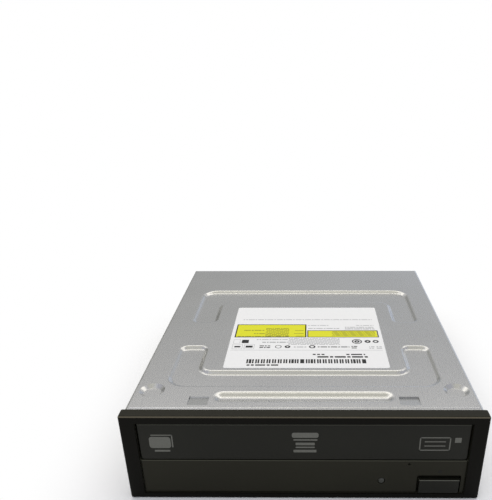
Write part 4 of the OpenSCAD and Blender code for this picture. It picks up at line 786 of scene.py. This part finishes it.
class DRIVE_OT_eject_button(bpy.types.Operator):
    """Model the eject button, its guide pin and the plain mark above it"""

    bl_idname = "drive.eject_button"
    bl_label = "Eject button"

    def execute(self, context):
        look = context.scene.drive_front
        low, high = box_mm("eject_button")
        centre = (low.x + high.x) / 2
        cap_back = low.y + 2.3
        pin_front = low.y + 1.2
        pin_radius = 1.5
        cap = add_block("eject_button_cap", low, (high.x, cap_back, high.z))
        round_edges(cap, 0.35 * MM, 4)
        weld(cap, add_depth_rod(centre, middle_mm("switch_stem").z, pin_front, high.y, pin_radius))
        tidy_mesh(cap)
        # Painted highlight along the button's top edge
        edge = (high.z - 0.3, 0.12, "#66665C")
        skin = grained_abs("black_abs_button", look.door_colour, "#1D1D17", 0.4, 0.15, edge)
        dress(cap, skin, "button", "button_abs", "eject_button")

        face = box_mm("front_bezel")[0].y + look.field_depth / MM
        half = 0.85
        foot = high.z + 3.4
        bar_top = foot + 0.35
        arrow_foot = foot + 0.6
        bar = add_mark(face, centre - half, foot, centre + half, bar_top)
        arrow = add_mark(face, centre - half, arrow_foot, centre + half, arrow_foot + half)
        for side in (-1, 1):
            cut_plane(arrow, point(centre + side * half, face, arrow_foot), (side, 0, 1))
        mark = join("eject_mark", [round_edges(bar, 0.02 * MM, 1), arrow])
        dress(mark, printing_ink("dark_mark_print", "#0C0C0A", "#12120F"), "chassis", "black_abs")
        return {"FINISHED"}


class DRIVE_OT_light_pipe(bpy.types.Operator):
    """Model the indicator's light pipe with its domed end"""

    bl_idname = "drive.light_pipe"
    bl_label = "Light pipe"

    def execute(self, context):
        low, high = box_mm("led_lens")
        dome = 0.5 * MM
        pipe = add_rod("light_pipe", (low + high) / 2, high.y - low.y, (high.x - low.x) / 2)
        round_edges(pipe, dome, 6)
        smoke = clear_optic("smoked_light_pipe", "#34352E", 0.25, 0.3)
        dress(pipe, smoke, "chassis", "lens_glass", "led_lens")
        return {"FINISHED"}


class DRIVE_OT_label_print(bpy.types.Operator):
    """Print plain fields, rows of bars and round marks on the paper label"""

    bl_idname = "drive.label_print"
    bl_label = "Label print"

    def field(self, x0, y0, x1, y1, level=0):
        """One printed field on the label, in millimetres."""
        low = self.top + level * self.ink
        shape = add_block("field", (x0, y0, low - self.ink / 2), (x1, y1, low + self.ink))
        corner = min(0.1, 0.4 * (x1 - x0), 0.4 * (y1 - y0))
        return round_corners(shape, 2, corner * MM, 2)

    def outline(self, x0, y0, x1, y1, width, level=0):
        """The four bars round a field."""
        return [
            self.field(x0, y0, x1, y0 + width, level), self.field(x0, y1 - width, x1, y1, level),
            self.field(x0, y0 + width, x0 + width, y1 - width, level),
            self.field(x1 - width, y0 + width, x1, y1 - width, level),
        ]

    def ring(self, x, y, outer, inner):
        """A printed ring."""
        height = 1.5 * self.ink
        disc = add_rod("disc", (x, y, self.top + self.ink / 4), height, outer, "Z", 40)
        hole = add_rod("cut", (x, y, self.top), 1, inner, "Z", 32)
        return carve(disc, hole)

    def rows(self, x0, y0, x1, y1, columns, rows, seed, level=0):
        """Rows of word-long bars with a gap between rows."""
        place = self.top + level * self.ink
        span = 2 * rows - 1

        def keep(column, row):
            # Two cells in eleven stay empty, as gaps between words
            word = (column + seed * (row + 3)) * 7 % 11
            return row % 2 == 0 and word > 1

        return print_cells((x0, y0, place), (x1, y1, place), columns, span, self.ink * MM, keep)

    def execute(self, context):
        look = context.scene.drive_label
        self.ink = look.ink_height / MM
        self.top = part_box("label")[1].z / MM
        finish(coated_paper(), "label")
        field = self.field
        rows = self.rows
        ring = self.ring
        yellow = [field(-35.1, 66.1, 0.3, 80.5), field(1.9, 66.1, 37, 73.1)]
        olive = [
            rows(-20, 67, -8, 76.2, 30, 7, 3, 1), rows(-31.4, 73.2, -20.4, 74, 22, 1, 4, 1),
            rows(-26, 69.4, -20.4, 70.2, 12, 1, 2, 1), rows(-34, 66.3, -8, 66.9, 56, 1, 5, 1),
            field(-5, 73.2, -0.5, 73.7, 1), field(-5.4, 69.6, -0.5, 70.1, 1),
            field(-4.4, 66.7, -0.5, 67.2, 1), rows(14, 67.2, 36, 72.6, 60, 5, 6, 1),
        ]
        grey = [
            rows(-33, 86.5, 36, 87.1, 150, 1, 2), field(-36, 51.6, 38, 51.8),
            rows(1.8, 79.3, 12.5, 79.9, 24, 1, 3), rows(27, 79.3, 36.2, 79.9, 20, 1, 5),
            rows(1.8, 75.6, 18, 76.3, 34, 1, 1), rows(21, 74.8, 36.4, 77.8, 36, 3, 4),
            rows(-8, 57.6, 17.5, 64.3, 60, 6, 3), rows(-24, 62.8, -8.4, 63.4, 34, 1, 2),
            rows(-21, 59.6, -8.4, 60.6, 28, 1, 5), rows(-5.2, 54.6, 1.4, 55.4, 14, 1, 3),
            rows(31.6, 53.4, 34.2, 55.6, 6, 2, 2), rows(35.2, 53.4, 37.8, 55.6, 6, 2, 4),
        ]
        grey += self.outline(-35.4, 58.8, -32, 63.2, 0.18) + self.outline(-35.4, 53, -30.4, 57.8, 0.18)
        grey += self.outline(-29.6, 53, -24.6, 57.8, 0.18)
        dark = self.outline(-35.5, 65.6, 0.9, 80.8, 0.6, 1) + self.outline(1.4, 65.6, 37.6, 73.6, 0.5, 1)
        dark += [
            field(0.3, 66, 0.9, 80.6, 1), field(-31.2, 59.2, -27.8, 62.8),
            field(-34.4, 54.6, -31.4, 56), field(-28.8, 54.4, -25.4, 56.4),
            rows(-22, 54, -16.8, 56.6, 12, 2, 5), ring(-12.8, 55.3, 1.6, 1.25),
            ring(-8.3, 55.3, 1.4, 0.5), ring(3.8, 55.3, 1.6, 0.9), rows(6.5, 54.7, 22, 55.5, 34, 1, 3),
            rows(23, 53.6, 25.8, 56, 8, 2, 4), ring(26.1, 61, 2.5, 1.9), ring(26.1, 61, 1.3, 0.4),
            ring(31.4, 61, 1.5, 0.5), ring(35.4, 61, 1.5, 0.7), rows(6.2, 44.2, 30, 45.6, 32, 1, 4),
            rows(4, 46.8, 9.6, 47.9, 8, 1, 2), rows(20, 46.8, 29, 47.9, 12, 1, 3),
            rows(-26.6, 36.4, -12, 37.6, 22, 1, 2),
            # Upright bars of uneven widths, by a rule that holds no number
            print_cells(
                (-27, 38.7, self.top), (29.2, 42.6, self.top), 150, 1, self.ink * MM,
                lambda column, row: (column + column // 7) % 4 < 2 or column % 11 == 3),
        ]
        for name, shapes, colour, lighter in (
                ("yellow_print", yellow, look.yellow, "#E2E128"),
                ("olive_print", olive, look.olive, "#A6A22A"),
                ("grey_print", grey, look.grey, "#ADAEAE"),
                ("dark_print", dark, look.dark, "#262624")):
            dress(join(name, shapes), printing_ink(name + "_ink", colour, lighter), "chassis", "paper_label")
        return {"FINISHED"}


class DRIVE_OT_cover_bead(bpy.types.Operator):
    """Model the rolled bead along the cover's front edge"""

    bl_idname = "drive.cover_bead"
    bl_label = "Cover front bead"

    def execute(self, context):
        look = context.scene.drive_metal
        high = box_mm("top_cover")[1]
        radius = 0.45
        depth = 1.9
        side_gap = 1.7
        place = (0, depth, high.z + look.bead_height / MM - radius)
        bead = add_rod("cover_front_bead", place, 2 * (high.x - side_gap), radius, "X", 40)
        round_edges(bead, 0.25 * MM, 3)
        dress(bead, bpy.data.materials["zinc_plated_steel"], "chassis", "zinc_steel")
        return {"FINISHED"}


class DRIVE_OT_connector_contacts(bpy.types.Operator):
    """Model the gold contacts on the serial connector's two tongues"""

    bl_idname = "drive.connector_contacts"
    bl_label = "Connector contacts"

    def execute(self, context):
        low, high = box_mm("sata_connector")
        pitch = 1.27
        half = 0.3
        front = high.y - 5.5
        back = high.y - 0.9
        foot = low.z + 2.3
        top = low.z + 2.45
        contact = add_block("contact", (-half, front, foot), (half, back, top))
        round_edges(contact, 0.05 * MM, 2)
        data_row = (low.x + 5.7, 7)
        power_row = (low.x + 19.1, 15)
        contacts = []
        for start, count in (data_row, power_row):
            contacts += [copy_moved(contact, start + pitch * k) for k in range(count)]
        bpy.data.objects.remove(contact)
        gold = bright_metal("gold_flashed_contacts", "#D9B45A", 0.25, 0.3)
        dress(join("connector_contacts", contacts), gold, "chassis", "bright_steel")
        return {"FINISHED"}


class DRIVE_OT_metal_parts(bpy.types.Operator):
    """Finish the pressed, plated and die-cast metal pieces"""

    bl_idname = "drive.metal_parts"
    bl_label = "Metal parts"

    def execute(self, context):
        look = context.scene.drive_metal
        finish(zinc_sheet(), "top_cover", "bottom_cover", "clamp_bridge")
        finish(
            bright_metal("nickel_plated_steel", look.nickel, 0.28), "cover_screws", "bridge_screws",
            "pcb_screws", "motor_screws", "damper_screws", "clamp_yoke", "actuator_cover")
        finish(
            bright_metal("ground_steel_rod", "#D2D2CF", 0.16, 0.6, True), "guide_rod_left", "guide_rod_right",
            "lead_screw")
        finish(
            bright_metal("pressed_chassis_steel", "#BFC0BE", 0.34, 0.5), "traverse_plate", "spindle_rotor",
            "feed_motor", "loading_motor")
        finish(bright_metal("die_cast_zinc", "#8F9193", 0.48, 0.8), "optical_sled")
        finish(enamelled_copper(), "spindle_stator")
        finish(bright_metal("sintered_magnet", "#5E5F62", 0.5, 0.5), "clamp_magnet")
        return {"FINISHED"}


class DRIVE_OT_moulded_parts(bpy.types.Operator):
    """Finish the moulded frame, tray, gears and rubber pieces"""

    bl_idname = "drive.moulded_parts"
    bl_label = "Moulded parts"

    def execute(self, context):
        finish(
            grained_abs("black_moulded_frame", "#242424", "#2E2E2E", 0.5, 0.35), "main_frame", "tray",
            "traverse_frame", "turntable")
        finish(
            smooth_moulding("white_acetal", "#DEDBD0", 0.36, "#EAE8DF"), "clamper", "rack_follower",
            "cam_slider", "motor_pulley", "pulley_gear", "drive_gear", "switch_stem")
        finish(smooth_moulding("blue_black_polymer", "#1D2A33", 0.34, "#263843"), "lens_holder")
        finish(soft_rubber("black_belt_rubber", "#1D1D1C"), "drive_belt", "dampers")
        finish(soft_rubber("grey_pad_rubber", "#55565A"), "turntable_pad")
        finish(clear_optic("coated_lens", "#C4DCEA", 0.02), "objective_lens")
        return {"FINISHED"}


class DRIVE_OT_electronics(bpy.types.Operator):
    """Finish the boards, their components and the sheets under them"""

    bl_idname = "drive.electronics"
    bl_label = "Electronics"

    def execute(self, context):
        finish(solder_mask(), "main_pcb", "front_pcb")
        finish(smooth_moulding("black_chip_epoxy", "#202022", 0.5, "#2A2A2C"), "main_chips")
        finish(smooth_moulding("capacitor_sleeve", "#3A4A63", 0.3, "#46587A"), "capacitors")
        finish(smooth_moulding("cream_nylon", "#E2DCC9", 0.4, "#EDE8D8"), "flat_cable_sockets")
        finish(smooth_moulding("black_nylon", "#1E1E1D", 0.42, "#272726"), "sata_connector", "eject_switch")
        finish(clear_optic("green_tinted_epoxy", "#BFD0AE", 0.08), "led")
        finish(ribbon_film(), "front_flat_cable")
        finish(smooth_moulding("polyester_insulation", "#D8D2B8", 0.3, "#E0DBC6"), "insulation_sheet")
        finish(soft_rubber("blue_silicone_pad", "#9FB4C4"), "thermal_pad")
        return {"FINISHED"}


class DRIVE_OT_stage(bpy.types.Operator):
    """Set up the floor, the soft light, the lamps and the camera"""

    bl_idname = "drive.stage"
    bl_label = "Stage"

    def add_floor(self, look):
        """A pale paper floor that turns plain white away from the object and keeps its shadow."""
        drop = 0.05 * MM
        shadow_start = 2 * MM
        shadow_end = 50 * MM
        select_none()
        bpy.ops.mesh.primitive_grid_add(x_subdivisions=2, y_subdivisions=2, size=8, location=(0, 0, -drop))
        floor = settle("studio_floor")
        material, tree, shader, place = start_material("studio_paper", look.floor, 0.9, 0, 0.1)
        fibre = add_node(tree, "TexNoise", {"Scale": 300}, {"Vector": place})
        blend_colour(tree, shader, fibre.outputs["Fac"], look.floor, "#FCFCFC")
        rays = add_node(tree, "LightPath")
        seen = add_node(
            tree, "Math", {"operation": "MAXIMUM"},
            {0: rays.outputs["Is Camera Ray"], 1: rays.outputs["Is Glossy Ray"]})
        seen = add_node(
            tree, "Math", {"operation": "MAXIMUM"},
            {0: seen.outputs[0], 1: rays.outputs["Is Transmission Ray"]})
        # The distance past the object's footprint decides how white the floor is
        corner = (CAD_BOX[1][0], CAD_BOX[1][1], 0)
        far = add_node(tree, "VectorMath", {"operation": "ABSOLUTE"}, {0: place})
        past = add_node(tree, "VectorMath", {"operation": "SUBTRACT", 1: corner}, {0: far.outputs[0]})
        past = add_node(tree, "VectorMath", {"operation": "MAXIMUM", 1: (0, 0, 0)}, {0: past.outputs[0]})
        reach = add_node(tree, "VectorMath", {"operation": "LENGTH"}, {0: past.outputs[0]})
        away = add_node(
            tree, "MapRange",
            {"interpolation_type": "SMOOTHSTEP", "From Min": shadow_start, "From Max": shadow_end},
            {"Value": reach.outputs["Value"]})
        share = add_node(
            tree, "Math", {"operation": "MULTIPLY"}, {0: seen.outputs[0], 1: away.outputs["Result"]})
        white = add_node(tree, "Emission", {"Color": (1, 1, 1, 1), "Strength": 1})
        mixed = add_node(
            tree, "MixShader", None,
            {0: share.outputs[0], 1: shader.outputs["BSDF"], 2: white.outputs["Emission"]})
        tree.links.new(mixed.outputs[0], tree.nodes["Material Output"].inputs["Surface"])
        floor.data.materials.append(material)

    def add_sky(self, scene, look):
        """Even light all round, a little darker low on the left and bluer low on the right."""
        world = bpy.data.worlds.new("soft_studio")
        scene.world = world
        world.use_nodes = True
        tree = world.node_tree
        tree.nodes.clear()
        direction = add_node(tree, "TexCoord").outputs["Generated"]
        parts = add_node(tree, "SeparateXYZ", None, {0: direction})
        side = add_node(
            tree, "MapRange",
            {"interpolation_type": "SMOOTHSTEP", "From Min": -0.5, "From Max": 0.5},
            {"Value": parts.outputs["X"]})
        rise = add_node(
            tree, "MapRange",
            {"interpolation_type": "SMOOTHSTEP", "From Min": 0.28, "From Max": 0.75},
            {"Value": parts.outputs["Z"]})
        low = add_node(
            tree, "MapRange", {"From Min": 0.22, "From Max": 0.36, "To Min": 1, "To Max": 0},
            {"Value": parts.outputs["Z"]})
        crown = add_node(
            tree, "MapRange", {"From Min": 0.86, "From Max": 0.97}, {"Value": parts.outputs["Z"]})
        upper = mix_tones(tree, rise.outputs["Result"], "#B4B4AF", "#B9BAC6")
        upper = mix_tones(tree, crown.outputs["Result"], upper, "#DAD8CC")
        around = mix_tones(tree, side.outputs["Result"], "#70706A", "#DCE6FC")
        tone = mix_tones(tree, low.outputs["Result"], upper, around)
        rays = add_node(tree, "LightPath")
        seen = add_node(
            tree, "Math", {"operation": "MAXIMUM"},
            {0: rays.outputs["Is Camera Ray"], 1: rays.outputs["Is Transmission Ray"]})
        even = add_node(tree, "Background", {"Strength": look.sky}, {"Color": tone})
        white = add_node(tree, "Background", {"Color": (1, 1, 1, 1), "Strength": 1})
        mixed = add_node(
            tree, "MixShader", None, {0: seen.outputs[0], 1: even.outputs[0], 2: white.outputs[0]})
        add_node(tree, "OutputWorld", None, {"Surface": mixed.outputs[0]})

    def add_lamp(self, name, place, power, width, depth, tint):
        """A soft lamp that faces the object and stays out of view."""
        target = Vector((0, 0, 0.03))
        bpy.ops.object.light_add(type="AREA", location=place)
        lamp = bpy.context.active_object
        lamp.name = name
        lamp.data.shape = "RECTANGLE"
        lamp.data.energy = power
        lamp.data.size = width
        lamp.data.size_y = depth
        lamp.data.color = linear(tint)[:3]
        lamp.rotation_euler = (target - Vector(place)).to_track_quat("-Z", "Y").to_euler()
        lamp.visible_camera = False

    def execute(self, context):
        look = context.scene.drive_stage
        scene = context.scene
        scene.view_settings.view_transform = "Standard"
        self.add_floor(look)
        self.add_sky(scene, look)
        self.add_lamp("strip_lamp", (0, 0.32, 0.65), look.strip, 1.3, 0.4, "#FFFAEC")
        self.add_lamp("fill_lamp", (-0.35, -0.65, 0.65), look.fill, 0.7, 0.7, "#F6F8FF")

        # The camera's place and its turns about x, y and z in degrees, fitted to the photograph
        place = (0.00177, -0.27151, 0.17023)
        turns = (63.2145, 0.3008, 0.601)
        bpy.ops.object.camera_add(location=place, rotation=[math.radians(turn) for turn in turns])
        camera = bpy.context.active_object
        camera.name = "photo_camera"
        camera.data.lens = look.lens
        camera.data.shift_x = -0.1108
        camera.data.shift_y = 0.1794
        camera.data.clip_start = 0.01
        scene.camera = camera
        return {"FINISHED"}


class DRIVE_PT_finish(bpy.types.Panel):
    """The drive's pieces in the 3D view's sidebar"""

    bl_label = "Disc drive"
    bl_idname = "DRIVE_PT_finish"
    bl_space_type = "VIEW_3D"
    bl_region_type = "UI"
    bl_category = "Disc drive"

    def draw(self, context):
        for name, group in SETTINGS:
            settings = getattr(context.scene, name)
            for key in group.__annotations__:
                self.layout.prop(settings, key)
        for operator in OPERATORS:
            self.layout.operator(operator.bl_idname)


OPERATORS = (
    DRIVE_OT_metal_parts, DRIVE_OT_moulded_parts, DRIVE_OT_electronics, DRIVE_OT_front_bezel,
    DRIVE_OT_tray_door, DRIVE_OT_eject_button, DRIVE_OT_light_pipe, DRIVE_OT_label_print,
    DRIVE_OT_cover_bead, DRIVE_OT_connector_contacts, DRIVE_OT_stage,
)
SETTINGS = (
    ("drive_front", FrontSettings), ("drive_label", LabelSettings), ("drive_metal", MetalSettings),
    ("drive_stage", StageSettings),
)


def register():
    for name, group in SETTINGS:
        bpy.utils.register_class(group)
        setattr(bpy.types.Scene, name, PointerProperty(type=group))
    for operator in OPERATORS:
        bpy.utils.register_class(operator)
    bpy.utils.register_class(DRIVE_PT_finish)


def unregister():
    bpy.utils.unregister_class(DRIVE_PT_finish)
    for operator in reversed(OPERATORS):
        bpy.utils.unregister_class(operator)
    for name, group in reversed(SETTINGS):
        delattr(bpy.types.Scene, name)
        bpy.utils.unregister_class(group)


def main():
    """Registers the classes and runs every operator."""
    register()
    for node in NODES.values():
        smooth(node)
    bpy.ops.drive.metal_parts()
    bpy.ops.drive.moulded_parts()
    bpy.ops.drive.electronics()
    bpy.ops.drive.front_bezel()
    bpy.ops.drive.tray_door()
    bpy.ops.drive.eject_button()
    bpy.ops.drive.light_pipe()
    bpy.ops.drive.label_print()
    bpy.ops.drive.cover_bead()
    bpy.ops.drive.connector_contacts()
    bpy.ops.drive.stage()


if __name__ == "__main__":
    main()
